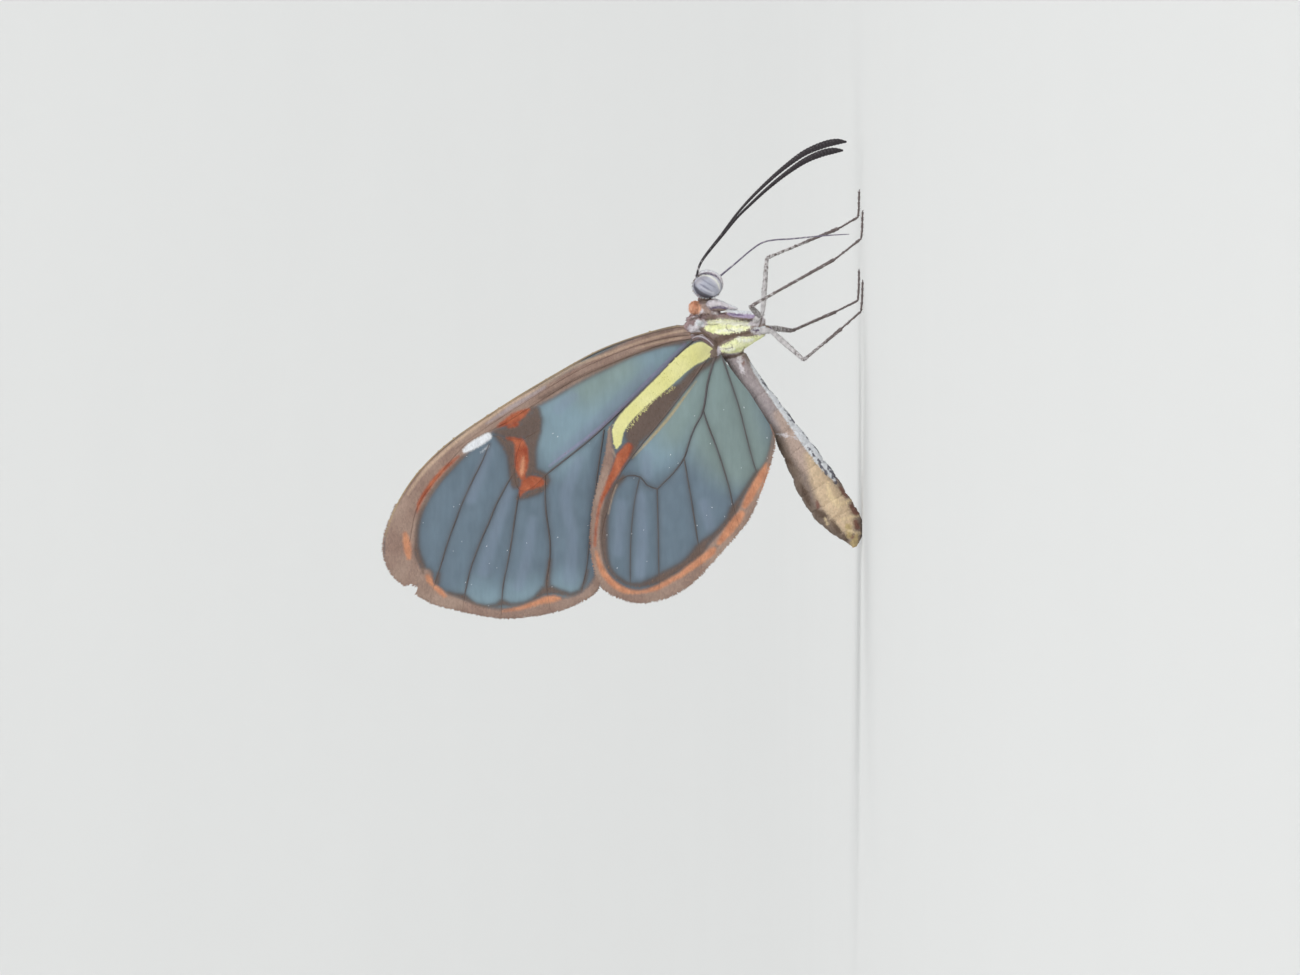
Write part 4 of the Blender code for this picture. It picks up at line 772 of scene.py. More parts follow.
def move_points(obj, places):
    obj.data.vertices.foreach_set("co", np.ascontiguousarray(places, dtype=float).ravel())
    obj.data.update()


def apply_modifier(obj, kind, **values):
    pick(obj)
    modifier = obj.modifiers.new(kind.lower(), kind)
    for key, value in values.items():
        setattr(modifier, key, value)
    bpy.ops.object.modifier_apply(modifier=modifier.name)


def merged(obj, distance):
    """The object with points closer than the distance made one."""
    pick(obj)
    bpy.ops.object.mode_set(mode="EDIT")
    bpy.ops.mesh.select_all(action="SELECT")
    bpy.ops.mesh.remove_doubles(threshold=distance)
    bpy.ops.object.mode_set(mode="OBJECT")
    return obj


def faced_outward(obj):
    pick(obj)
    bpy.ops.object.mode_set(mode="EDIT")
    bpy.ops.mesh.select_all(action="SELECT")
    bpy.ops.mesh.normals_make_consistent(inside=False)
    bpy.ops.object.mode_set(mode="OBJECT")
    return obj


def set_fields(obj, fields):
    """Stores numbers for each vertex under each name, for the material to read."""
    for name, values in fields.items():
        store = obj.data.attributes.new(name, "FLOAT", "POINT")
        store.data.foreach_set("value", np.ascontiguousarray(values, dtype=np.float32))


def finish_piece(obj, finish, slot, *nodes, smooth=40):
    """Brings a piece from millimetres to life size, gives it its finish and sets it on the frame."""
    pick(obj)
    bpy.ops.object.transform_apply(location=True, rotation=True, scale=True)
    obj.data.transform(Matrix.Scale(MM, 4))
    obj.data.materials.clear()
    obj.data.materials.append(finish)
    if smooth:
        bpy.ops.object.shade_smooth_by_angle(angle=math.radians(smooth))
    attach(obj, BODY)
    if nodes:
        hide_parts(*nodes)
    return obj


def tube(name, line, sides=12):
    """A closed tube through points of (x, y, z, radius)."""
    bpy.ops.curve.primitive_nurbs_path_add()
    made = added(name)
    curve = made.data
    curve.splines.clear()
    spline = curve.splines.new("POLY")
    spline.points.add(len(line) - 1)
    for point, place in zip(spline.points, line):
        point.co = (*place[:3], 1.0)
        point.radius = max(place[3], 0.01)
    curve.bevel_depth = 1.0
    curve.bevel_resolution = max(0, sides // 4 - 1)
    curve.use_fill_caps = True
    pick(made)
    bpy.ops.object.convert(target="MESH")
    merged(made, 0.0005)
    return faced_outward(made)


def joint_tube(name, start, end, profile, sides=12):
    """One straight joint of a limb, its radius given by points of (share of the length, radius)."""
    shape = smooth_path(profile, 0.06)
    start, end = np.array(start), np.array(end)
    places = start + (end - start) * np.clip(shape[:, :1], 0, 1)
    return tube(name, np.column_stack([places, shape[:, 1]]), sides)


def outward(path, side):
    """A path given for the left side, set on the side asked for."""
    turned = np.array(path, dtype=float)
    turned[:, 1] *= side
    return turned


def ball(name, centre, radii, segments, rings):
    bpy.ops.mesh.primitive_uv_sphere_add(segments=segments, ring_count=rings, radius=1.0, location=centre, scale=radii)
    made = added(name)
    bpy.ops.object.transform_apply(location=True, rotation=True, scale=True)
    return made


# Scales and hairs

TUFT_POINTS = 9
TUFT_SIDES = [(0, 3, 2, 1), (0, 1, 5, 4), (1, 2, 6, 5), (2, 3, 7, 6), (3, 0, 4, 7), (4, 5, 8), (5, 6, 8), (6, 7, 8),
              (7, 4, 8)]
PATCH = 0.003  # width of one tuft's patch on the unwrap
# Where a tuft's nine points are within its patch
PATCH_POINTS = [(1, 0), (0.5, 0.2), (0, 0), (0.5, -0.2), (1, 0.6), (0.5, 0.7), (0, 0.6), (0.5, 0.4), (0.5, 1)]


def normalised(vectors):
    return vectors / np.maximum(np.linalg.norm(vectors, axis=1), 1e-9)[:, None]


def laid(directions, normals):
    """Directions turned to lie in the surface."""
    return normalised(directions - normals * np.sum(directions * normals, axis=1)[:, None])


def tuft_mesh(name, roots, along, normals, length, width, lift, thickness=0.012):
    """One thin scale or hair at each root, all in one mesh: a base and a middle of four points each, and a tip."""
    count = len(roots)
    length, width, lift = (np.broadcast_to(v, count).reshape(-1, 1) for v in (length, width, lift))
    along = normalised(along)
    side = normalised(np.cross(along, normals))
    rise = np.cross(side, along)
    thick = thickness * rise
    base = roots - 0.02 * rise
    middle = roots + along * length * 0.6 + rise * length * lift * 0.6
    tip = roots + along * length + rise * length * lift
    corners = [
        base + side * width * 0.3, base + thick, base - side * width * 0.3, base - thick,
        middle + side * width * 0.5, middle + thick, middle - side * width * 0.5, middle - thick, tip,
    ]
    places = np.stack(corners, axis=1).reshape(-1, 3)
    starts = np.arange(count)[:, None] * TUFT_POINTS
    faces = [face for shape in TUFT_SIDES for face in (starts + np.array(shape)).tolist()]
    mesh = bpy.data.meshes.new(name)
    mesh.from_pydata(places.tolist(), [], faces)
    mesh.update()
    made = bpy.data.objects.new(name, mesh)
    bpy.context.scene.collection.objects.link(made)
    return faced_outward(made)


def give_unwrap(tufts, unwrap):
    """A map named OFBake, where each tuft is a small patch at its root's place on the unwrap."""
    corners = (unwrap[:, None, :] + (np.array(PATCH_POINTS) - 0.5) * PATCH).reshape(-1, 2)
    layer = tufts.data.uv_layers.new(name="OFBake")
    loops = np.empty(len(tufts.data.loops), dtype=int)
    tufts.data.loops.foreach_get("vertex_index", loops)
    layer.data.foreach_set("uv", np.clip(corners[loops], 0.0, 1.0).ravel())


def give_fields(tufts, fields):
    set_fields(tufts, {name: np.repeat(values, TUFT_POINTS) for name, values in fields.items()})


def surface_samples(obj, count, seed):
    """Points spread evenly over a mesh, with the normal at each."""
    obj.data.calc_loop_triangles()
    triangles = np.empty(len(obj.data.loop_triangles) * 3, dtype=int)
    obj.data.loop_triangles.foreach_get("vertices", triangles)
    corners = points_of(obj)[triangles.reshape(-1, 3)]
    normal = np.cross(corners[:, 1] - corners[:, 0], corners[:, 2] - corners[:, 0])
    area = np.linalg.norm(normal, axis=1)
    draw = np.random.default_rng(seed)
    chosen = draw.choice(len(area), size=count, p=area / area.sum())
    u, v = draw.random((2, count))
    over = u + v > 1
    u[over], v[over] = 1 - u[over], 1 - v[over]
    a, b, c = corners[chosen, 0], corners[chosen, 1], corners[chosen, 2]
    places = a + (b - a) * u[:, None] + (c - a) * v[:, None]
    return places, normal[chosen] / np.maximum(area[chosen], 1e-12)[:, None]


def path_place(places, line):
    """Each place's share of the length along a limb, the limb's direction there and the place's angle round it."""
    lengths = lengths_along(line[:, :3])
    shares = lengths / lengths[-1]
    index = np.array([int(np.argmin(np.linalg.norm(line[:, :3] - place, axis=1))) for place in places])
    directions = normalised(np.gradient(line[:, :3], axis=0))[index]
    away = places - line[index, :3]
    level = normalised(np.cross(directions, [0.0, 0.0, 1.0]))
    up = np.cross(level, directions)
    angle = np.arctan2(np.sum(away * up, axis=1), np.sum(away * level, axis=1))
    return shares[index], directions, angle


# Materials

def new_group(name, inputs, outputs):
    """An empty shader node group with named number sockets; returns the group and its two ends."""
    tree = bpy.data.node_groups.new(name, "ShaderNodeTree")
    for label, default in inputs.items():
        socket = tree.interface.new_socket(label, in_out="INPUT", socket_type="NodeSocketFloat")
        socket.default_value = default
    for label in outputs:
        tree.interface.new_socket(label, in_out="OUTPUT", socket_type="NodeSocketFloat")
    return tree, tree.nodes.new("NodeGroupInput"), tree.nodes.new("NodeGroupOutput")


def node(tree, kind, values=None, **options):
    made = tree.nodes.new(kind)
    for key, value in options.items():
        setattr(made, key, value)
    for key, value in (values or {}).items():
        made.inputs[key].default_value = value
    return made


def plug(tree, socket, value):
    """Feeds a socket from another socket, a number or a colour of three numbers."""
    if isinstance(value, bpy.types.NodeSocket):
        tree.links.new(value, socket)
    elif isinstance(value, (int, float)):
        socket.default_value = value
    else:
        socket.default_value = (*value, 1.0)


def calc(tree, operation, first, second=0.0):
    made = node(tree, "ShaderNodeMath", operation=operation)
    plug(tree, made.inputs[0], first)
    plug(tree, made.inputs[1], second)
    return made.outputs[0]


def scaled(tree, value, factor, offset):
    """value * factor + offset."""
    made = node(tree, "ShaderNodeMath", operation="MULTIPLY_ADD")
    plug(tree, made.inputs[0], value)
    plug(tree, made.inputs[1], factor)
    plug(tree, made.inputs[2], offset)
    return made.outputs[0]


def millimetre_coordinates(tree):
    """The piece's own coordinates, in millimetres."""
    place = node(tree, "ShaderNodeTexCoord")
    grown = node(tree, "ShaderNodeVectorMath", operation="SCALE")
    grown.inputs["Scale"].default_value = 1 / MM
    tree.links.new(place.outputs["Object"], grown.inputs[0])
    return grown.outputs[0]


def noise(tree, coordinates, scale, detail=2.0, roughness=0.5):
    made = node(tree, "ShaderNodeTexNoise", {"Scale": scale, "Detail": detail, "Roughness": roughness})
    tree.links.new(coordinates, made.inputs["Vector"])
    return made.outputs["Fac"]


def marking_group():
    """Turns a distance inside a marking into a mask with a ragged, scaly edge."""
    name = "marking_edge"
    if name in bpy.data.node_groups:
        return bpy.data.node_groups[name]
    inputs = {"Depth": 0.0, "Noise": 0.5, "Softness": 0.05, "Raggedness": 0.1}
    tree, start, end = new_group(name, inputs, ["Mask"])
    shift = calc(tree, "MULTIPLY", calc(tree, "SUBTRACT", start.outputs["Noise"], 0.5), start.outputs["Raggedness"])
    depth = calc(tree, "ADD", start.outputs["Depth"], shift)
    spread = node(tree, "ShaderNodeMapRange", interpolation_type="SMOOTHSTEP")
    tree.links.new(depth, spread.inputs["Value"])
    tree.links.new(calc(tree, "MULTIPLY", start.outputs["Softness"], -1.0), spread.inputs["From Min"])
    tree.links.new(start.outputs["Softness"], spread.inputs["From Max"])
    tree.links.new(spread.outputs["Result"], end.inputs["Mask"])
    return tree


def scaly_group():
    """Small overlapping scales, longer along the wing: a height for bump and a tone that differs between scales."""
    name = "scale_cover"
    if name in bpy.data.node_groups:
        return bpy.data.node_groups[name]
    tree, start, end = new_group(name, {"Scales per mm": 9.0, "Contrast": 0.3}, ["Height", "Tone"])
    turn = node(tree, "ShaderNodeMapping", {"Rotation": (0.0, math.radians(-42), 0.0), "Scale": (0.6, 1.0, 1.0)})
    tree.links.new(millimetre_coordinates(tree), turn.inputs["Vector"])
    cells = node(tree, "ShaderNodeTexVoronoi", feature="F1")
    tree.links.new(turn.outputs[0], cells.inputs["Vector"])
    tree.links.new(start.outputs["Scales per mm"], cells.inputs["Scale"])
    tree.links.new(calc(tree, "SUBTRACT", 1.0, cells.outputs["Distance"]), end.inputs["Height"])
    split = node(tree, "ShaderNodeSeparateColor")
    tree.links.new(cells.outputs["Color"], split.inputs[0])
    part = calc(tree, "MULTIPLY", calc(tree, "SUBTRACT", split.outputs[0], 0.5), start.outputs["Contrast"])
    tree.links.new(calc(tree, "ADD", part, 1.0), end.inputs["Tone"])
    return tree


def use_group(tree, group, **values):
    made = node(tree, "ShaderNodeGroup", node_tree=group)
    for key, value in values.items():
        plug(tree, made.inputs[key.replace("_", " ")], value)
    return made


def field(tree, name):
    return node(tree, "ShaderNodeAttribute", attribute_name=name).outputs["Fac"]


def mixed(tree, mask, below, above, blend="MIX"):
    """One colour over another by a mask."""
    made = node(tree, "ShaderNodeMix", data_type="RGBA", blend_type=blend)
    plug(tree, made.inputs[0], mask)
    plug(tree, made.inputs[6], below)
    plug(tree, made.inputs[7], above)
    return made.outputs[2]


def toned(tree, base, tone):
    """A colour made lighter or darker by a number near 1."""
    grey = node(tree, "ShaderNodeCombineColor")
    for socket in grey.inputs:
        tree.links.new(tone, socket)
    return mixed(tree, 1.0, base, grey.outputs[0], "MULTIPLY")


def contrast(tree, value, factor):
    """A number near a half spread further from it, kept between 0 and 1."""
    made = node(tree, "ShaderNodeMath", operation="MULTIPLY_ADD", use_clamp=True)
    plug(tree, made.inputs[0], value)
    made.inputs[1].default_value = factor
    made.inputs[2].default_value = (1 - factor) / 2
    return made.outputs[0]


def field_mask(tree, name, softness):
    """A plain mask from a marking's depth."""
    made = node(tree, "ShaderNodeMapRange", {"From Min": -softness, "From Max": softness})
    tree.links.new(field(tree, name), made.inputs["Value"])
    return made.outputs["Result"]


def bumped(tree, shader, height, distance, strength=0.6):
    bump = node(tree, "ShaderNodeBump", {"Strength": strength, "Distance": distance * MM})
    tree.links.new(height, bump.inputs["Height"])
    tree.links.new(bump.outputs["Normal"], shader.inputs["Normal"])


def material(name, roughness, **sockets):
    """A new material; returns it with its node tree and its shader."""
    made = bpy.data.materials.new(name)
    made.use_nodes = True
    shader = made.node_tree.nodes["Principled BSDF"]
    shader.inputs["Roughness"].default_value = roughness
    for key, value in sockets.items():
        shader.inputs[key.replace("_", " ")].default_value = value
    return made, made.node_tree, shader


# Markings more ragged than this, in millimetres, break up into large flecks
COARSE_RAGGEDNESS = 0.3


def painted(tree, base, coordinates, tints, edges):
    """Markings one over another on a base colour, with a mask of all that they cover."""
    fine = noise(tree, coordinates, 9.0, 2.0, 0.6)
    coarse = noise(tree, coordinates, 3.5, 2.0, 0.6)
    cover = None
    for name, (softness, raggedness, strength) in edges.items():
        ragged = coarse if raggedness >= COARSE_RAGGEDNESS else fine
        edge = use_group(tree, marking_group(), Depth=field(tree, name), Noise=ragged, Softness=softness,
                         Raggedness=raggedness)
        mask = calc(tree, "MULTIPLY", edge.outputs["Mask"], strength)
        base = mixed(tree, mask, base, tints[name])
        cover = mask if cover is None else calc(tree, "MAXIMUM", cover, mask)
    return base, cover


def wing_paint(tree, base, coordinates):
    """The wing's markings on a base colour, each scale a little lighter or darker."""
    palette = colours()
    broad = noise(tree, coordinates, 0.6, 1.0)
    fine = noise(tree, coordinates, 1.4, 2.0)
    margin = mixed(tree, contrast(tree, broad, 3.0), palette.border, palette.border_pale)
    glow = mixed(tree, contrast(tree, fine, 2.5), palette.ember, palette.ember_bright)
    fire = mixed(tree, contrast(tree, fine, 2.5), palette.orange, palette.orange_bright)
    lemon = mixed(tree, contrast(tree, broad, 2.0), palette.yellow, palette.yellow_pale)
    tints = {name: getattr(palette, name) for name in WING_EDGES}
    tints.update(border=margin, ember=glow, orange=fire, yellow=lemon)
    base, cover = painted(tree, base, coordinates, tints, WING_EDGES)
    scales = use_group(tree, scaly_group(), Scales_per_mm=10.0, Contrast=0.20)
    smooth = field_mask(tree, "yellow", 0.2)
    share = calc(tree, "MULTIPLY", cover, scaled(tree, smooth, -0.65, 1.0))
    tone = scaled(tree, calc(tree, "SUBTRACT", scales.outputs["Tone"], 1.0), share, 1.0)
    return toned(tree, base, tone), cover, scales.outputs["Height"]


def wing_material():
    if "wing_membrane" in bpy.data.materials:
        return bpy.data.materials["wing_membrane"]
    made, tree, shader = material("wing_membrane", 0.45, Specular_IOR_Level=0.4)
    palette = colours()
    coordinates = millimetre_coordinates(tree)
    cloud = noise(tree, coordinates, 0.8, 2.0, 0.5)
    base = mixed(tree, field(tree, "light"), palette.membrane_blue, palette.membrane_light)
    base = mixed(tree, field(tree, "green"), base, palette.membrane_green)
    base = toned(tree, base, scaled(tree, cloud, 0.24, 0.88))
    # Painted sheen: lavender light streaks painted over the membrane's colour
    base = mixed(tree, field(tree, "painted_sheen"), base, palette.painted_sheen)
    # Painted light and shade: lighter and darker streaks along the membrane's folds
    drawn = node(tree, "ShaderNodeMapping", {"Rotation": (0.0, math.radians(-12), 0.0), "Scale": (0.22, 1.0, 1.0)})
    tree.links.new(coordinates, drawn.inputs["Vector"])
    painted_fold_shade = contrast(tree, noise(tree, drawn.outputs[0], 2.6, 3.0, 0.6), 1.6)
    base = toned(tree, base, scaled(tree, painted_fold_shade, 0.20, 0.90))
    smoke = field(tree, "smoke")
    base = mixed(tree, smoke, base, palette.smoke)
    base, cover, relief_height = wing_paint(tree, base, coordinates)
    tree.links.new(base, shader.inputs["Base Color"])
    clear = settings().clear
    solid = calc(tree, "MAXIMUM", cover, calc(tree, "MULTIPLY", smoke, 0.8))
    tree.links.new(scaled(tree, solid, 0.98 - clear, clear), shader.inputs["Alpha"])
    tree.links.new(scaled(tree, cover, 0.2, 0.45), shader.inputs["Roughness"])
    height = calc(tree, "ADD", cloud, calc(tree, "MULTIPLY", relief_height, calc(tree, "MULTIPLY", cover, 0.6)))
    bumped(tree, shader, height, 0.03, 0.4)
    return made


def wing_coat_material():
    if "wing_coat" in bpy.data.materials:
        return bpy.data.materials["wing_coat"]
    made, tree, shader = material("wing_coat", 0.6, Specular_IOR_Level=0.25)
    coordinates = millimetre_coordinates(tree)
    base, _, height = wing_paint(tree, colours().border, coordinates)
    tree.links.new(base, shader.inputs["Base Color"])
    bumped(tree, shader, height, 0.01, 0.3)
    return made


def vein_material():
    if "vein_scales" in bpy.data.materials:
        return bpy.data.materials["vein_scales"]
    made, tree, shader = material("vein_scales", 0.55, Specular_IOR_Level=0.3)
    palette = colours()
    coordinates = millimetre_coordinates(tree)
    base = mixed(tree, contrast(tree, noise(tree, coordinates, 0.9, 2.0), 2.0), palette.vein, palette.smoke)
    base, _, _ = wing_paint(tree, base, coordinates)
    base = mixed(tree, 0.18, base, palette.dark)
    tree.links.new(base, shader.inputs["Base Color"])
    bumped(tree, shader, noise(tree, coordinates, 9.0, 2.0), 0.015)
    return made


def body_material():
    if "body_coat" in bpy.data.materials:
        return bpy.data.materials["body_coat"]
    made, tree, shader = material("body_coat", 0.6, Specular_IOR_Level=0.25)
    palette = colours()
    coordinates = millimetre_coordinates(tree)
    cloud = noise(tree, coordinates, 2.2, 3.0, 0.6)
    base = mixed(tree, contrast(tree, cloud, 2.0), palette.body, palette.brown)
    tints = {name: getattr(palette, name, None) for name in BODY_EDGES}
    tints["orange"] = mixed(tree, contrast(tree, cloud, 2.5), palette.collar, palette.collar_pale)
    tints["yellow"] = mixed(tree, contrast(tree, cloud, 2.5), palette.chest_deep, palette.chest)
    tints.update(patch=palette.bark, ring=palette.brown, glow=palette.ivory_tan)
    base, _ = painted(tree, base, coordinates, tints, BODY_EDGES)
    scales = use_group(tree, scaly_group(), Scales_per_mm=11.0, Contrast=0.20)
    tone = calc(tree, "MULTIPLY", scales.outputs["Tone"], scaled(tree, cloud, 0.30, 0.86))
    tree.links.new(toned(tree, base, tone), shader.inputs["Base Color"])
    bumped(tree, shader, scales.outputs["Height"], 0.02)
    return made


def eye_material():
    if "eye_dome" in bpy.data.materials:
        return bpy.data.materials["eye_dome"]
    made, tree, shader = material("eye_dome", 0.3, Specular_IOR_Level=0.4)
    palette = colours()
    coordinates = millimetre_coordinates(tree)
    base = toned(tree, palette.eye, scaled(tree, noise(tree, coordinates, 2.4, 2.0), 0.2, 0.9))
    # Painted light on the lower front and painted shade on the upper rear of the eye
    tints = {"painted_shade": palette.eye_painted_shade, "light": palette.eye_painted_light, "stripe": palette.eye_stripe,
             "band": palette.ivory, "rim": palette.eye_rim}
    base, _ = painted(tree, base, coordinates, tints, EYE_EDGES)
    facets = node(tree, "ShaderNodeTexVoronoi", {"Scale": 22.0}, feature="F1")
    tree.links.new(coordinates, facets.inputs["Vector"])
    dome = calc(tree, "SUBTRACT", 1.0, facets.outputs["Distance"])
    # Painted shade: each facet lighter in its middle and darker at its edge, as light falls on its dome
    tree.links.new(toned(tree, base, scaled(tree, dome, 0.16, 0.90)), shader.inputs["Base Color"])
    bumped(tree, shader, dome, 0.006, 0.4)
    return made


def limb_material(name, base, other, roughness, rings_per_mm, mottle=0.5):
    """Ringed or mottled skin of a feeler, leg or tongue; its rings follow the piece's own length."""
    if name in bpy.data.materials:
        return bpy.data.materials[name]
    made, tree, shader = material(name, roughness, Specular_IOR_Level=0.3)
    coordinates = millimetre_coordinates(tree)
    patch = noise(tree, coordinates, 5.0, 3.0, 0.7)
    share = node(tree, "ShaderNodeMapRange", interpolation_type="SMOOTHSTEP")
    tree.links.new(scaled(tree, field(tree, "paleness"), mottle, patch), share.inputs["Value"])
    share.inputs["From Min"].default_value = 0.62
    share.inputs["From Max"].default_value = 0.85
    tone = mixed(tree, share.outputs["Result"], base, other)
    ring = calc(tree, "SINE", calc(tree, "MULTIPLY", field(tree, "length"), math.tau * rings_per_mm))
    tree.links.new(toned(tree, tone, scaled(tree, ring, 0.10, 0.95)), shader.inputs["Base Color"])
    bumped(tree, shader, calc(tree, "ADD", ring, noise(tree, coordinates, 12.0, 3.0)), 0.012)
    return made


# Wings

# Gap: how far the wing is from the body's middle plane; humps on it: (height, centre, width), in millimetres
WINGS = {
    "forewing": {
        "stretches": [(FOREWING_COSTA, True), (FOREWING_NICK, False), (FOREWING_OUTER, True), (FOREWING_HIND, True)],
        "veins": FOREWING_VEINS, "marks": FOREWING_MARKS, "membrane": FOREWING_MEMBRANE, "gap": 0.52,
        "humps": [(0.43, FOREWING_ROOT, 1.3)],
        "fringe": [FOREWING_COSTA[-5:], [FOREWING_NICK[-1], *FOREWING_OUTER]], "root": FOREWING_ROOT, "seed": 11,
    },
    "hindwing": {
        "stretches": [(HINDWING_COSTA, True), (HINDWING_INNER, True)],
        "veins": HINDWING_VEINS, "marks": HINDWING_MARKS, "membrane": HINDWING_MEMBRANE, "gap": 1.05,
        "humps": [(0.45, (1.7, 10.7), 1.7), (-0.30, HINDWING_ROOT, 0.75)],
        "fringe": [HINDWING_COSTA[4:]], "root": HINDWING_ROOT, "seed": 12,
    },
}


def wing_depth(places, wing):
    """How far the wing's middle surface is from the body's middle plane."""
    depth = np.full(len(places), wing["gap"])
    for height, centre, width in wing["humps"]:
        depth += height * hump(places, centre, width)
    reach = np.linalg.norm(places - np.array(wing["root"]), axis=1)
    return depth + settings().spread * reach


def vein_gap(places, wing):
    """The distance of each place from the nearest vein."""
    gap = np.full(len(places), np.inf)
    for vein in wing["veins"]:
        gap = np.minimum(gap, nearest(places, smooth_path(vein, STROKE_STEP))[0])
    return gap


# How far from a vein the membrane reaches its full bulge, and the height of the folds along it, in millimetres
BULGE_REACH = 0.55
FOLD_HEIGHT = 0.03


def relief(places, wing, gap=None):
    """The wing's middle surface with its membrane bulging a little between the veins."""
    gap = vein_gap(places, wing) if gap is None else gap
    bulge = settings().billow * (1 - np.exp(-((gap / BULGE_REACH) ** 2)))
    folds = FOLD_HEIGHT * np.sin(places[:, 0] * 1.3 + places[:, 1] * 0.6) * np.sin(places[:, 1] * 1.7)
    return wing_depth(places, wing) + bulge + folds


def wing_fields(places, wing):
    """The depth of each marking on the wing; a marking that this wing hasn't is nowhere."""
    return {name: stroke_depth(places, wing["marks"].get(name, [])) for name in WING_EDGES}


# How far each kind of change in the membrane fades out round its strokes, in millimetres, and its full strength
MEMBRANE_FADES = {"light": (2.2, 0.9), "green": (2.2, 0.7), "painted_sheen": (0.5, 0.45), "haze": (0.4, 0.45)}
# The brown smoke beside a marking and beside a vein, as (strength, width in millimetres) of its near and far part
SMOKE_BY_MARK = ((0.55, 0.18), (0.15, 0.5))
SMOKE_BY_VEIN = ((0.45, 0.16), (0.12, 0.45))


def smoke(distance, parts):
    return sum(strength * np.exp(-((distance / width) ** 2)) for strength, width in parts)


def membrane_fields(places, wing, gap):
    """The markings' depths, with soft masks for the membrane's hue, its painted sheen and its brown haze."""
    fields = wing_fields(places, wing)
    for name, (reach, strength) in MEMBRANE_FADES.items():
        share = np.clip(1 + stroke_depth(places, wing["membrane"][name]) / reach, 0, 1)
        fields[name] = strength * share**2 * (3 - 2 * share)
    edge = np.maximum.reduce([fields[name] for name in ("border", "ember", "orange", "dark")])
    edge = np.minimum(edge, 0)
    fields["smoke"] = np.maximum.reduce([smoke(edge, SMOKE_BY_MARK), smoke(gap, SMOKE_BY_VEIN), fields.pop("haze")])
    return fields


def wing_membrane(kind, word, side):
    """A grid cut to the wing's outline, curved, given its thickness and the depth of each marking."""
    wing = WINGS[kind]
    cell = settings().cell
    outline = closed_outline(wing["stretches"], cell * 2)
    low, high = outline.min(axis=0) - cell, outline.max(axis=0) + cell
    columns, rows = np.ceil((high - low) / cell).astype(int)
    deselect()
    bpy.ops.mesh.primitive_grid_add(x_subdivisions=int(columns), y_subdivisions=int(rows), size=1.0)
    sheet = added(f"{kind}_membrane_{word}")
    places = (low + high) / 2 + points_of(sheet)[:, :2] * (high - low)
    move_points(sheet, np.column_stack([places[:, 0], np.zeros(len(places)), places[:, 1]]))
    centres = np.empty(len(sheet.data.polygons) * 3)
    sheet.data.polygons.foreach_get("center", centres)
    centres = centres.reshape(-1, 3)[:, [0, 2]]
    bpy.ops.object.mode_set(mode="EDIT")
    bpy.ops.mesh.select_mode(type="FACE")
    bpy.ops.mesh.select_all(action="DESELECT")
    bpy.ops.object.mode_set(mode="OBJECT")
    sheet.data.polygons.foreach_set("select", ~inside(centres, outline))
    bpy.ops.object.mode_set(mode="EDIT")
    bpy.ops.mesh.delete(type="FACE")
    bpy.ops.mesh.select_all(action="SELECT")
    bpy.ops.mesh.delete_loose()
    bpy.ops.object.mode_set(mode="OBJECT")
    bm = bmesh.new()
    bm.from_mesh(sheet.data)
    edge = np.array([v.is_boundary for v in bm.verts])
    bm.free()
    places = points_of(sheet)[:, [0, 2]]
    ring = np.vstack([outline, outline[:1]])
    places[edge] = nearest(places[edge], ring)[1]
    gap = vein_gap(places, wing)
    depth = relief(places, wing, gap)
    move_points(sheet, np.column_stack([places[:, 0], depth * side, places[:, 1]]))
    set_fields(sheet, membrane_fields(places, wing, gap))
    apply_modifier(sheet, "SOLIDIFY", thickness=settings().membrane, offset=0.0, use_even_offset=False)
    return finish_piece(sheet, wing_material(), "wing_clear", f"{kind}_{word}")


def wing_veins(kind, word, side):
    """The veins as tapering tubes that stand proud of both faces of the membrane."""
    wing = WINGS[kind]
    tubes = []
    for i, vein in enumerate(wing["veins"]):
        line = smooth_path(vein, 0.35)
        path = np.column_stack([line[:, 0], relief(line[:, :2], wing) * side, line[:, 1],
                                line[:, 2] * settings().vein])
        tubes.append(tube(f"vein_{i}", path, sides=8))
    veins = joined(f"{kind}_veins_{word}", tubes)
    set_fields(veins, wing_fields(points_of(veins)[:, [0, 2]], wing))
    return finish_piece(veins, vein_material(), "wing_clear", f"{kind}_{word}", smooth=60)


# The corners of the wings' unwrap, as (x, z)
WING_BOX = ((-15.5, 5.0), (3.5, 30.5))


def unwrap_wing(flat, outer_face):
    """A place on the wing's unwrap: one face in the left half of the map, the other in the right."""
    low, high = np.array(WING_BOX)
    share = (flat - low) / (high - low)
    return np.column_stack([share[:, 0] * 0.48 + np.where(outer_face, 0.51, 0.01), share[:, 1]])


def wing_tufts(name, wing, word, side, flat, lean, outer_face, fields, length, width, lift):
    """Scales rooted at places on the wing, leaning along it, on the face asked for."""
    kind = name.split("_")[0]
    clearance = settings().membrane / 2 * np.where(outer_face, 1, -1)
    roots = np.column_stack([flat[:, 0], (relief(flat, wing) + clearance) * side, flat[:, 1]])
    directions = np.column_stack([lean[:, 0], np.zeros(len(flat)), lean[:, 1]])
    normals = np.column_stack([np.zeros(len(flat)), np.where(outer_face, side, -side), np.zeros(len(flat))])
    tufts = tuft_mesh(name, roots, directions, normals, length, width, lift, thickness=0.007)
    give_unwrap(tufts, unwrap_wing(flat, outer_face))
    give_fields(tufts, fields)
    return finish_piece(tufts, wing_coat_material(), "wing_clear", f"{kind}_{word}", smooth=0)


# Size of a wing scale and of a dusting scale, in millimetres, and the share of the clear parts' scales that stay
WING_SCALE_LENGTH = 0.15
WING_SCALE_WIDTH = 0.06
DUST_WIDTH = 0.035
DUST_SHARE = 0.018
# A scale this far inside a marking, in millimetres, takes its colour
MARKED_DEPTH = 0.02


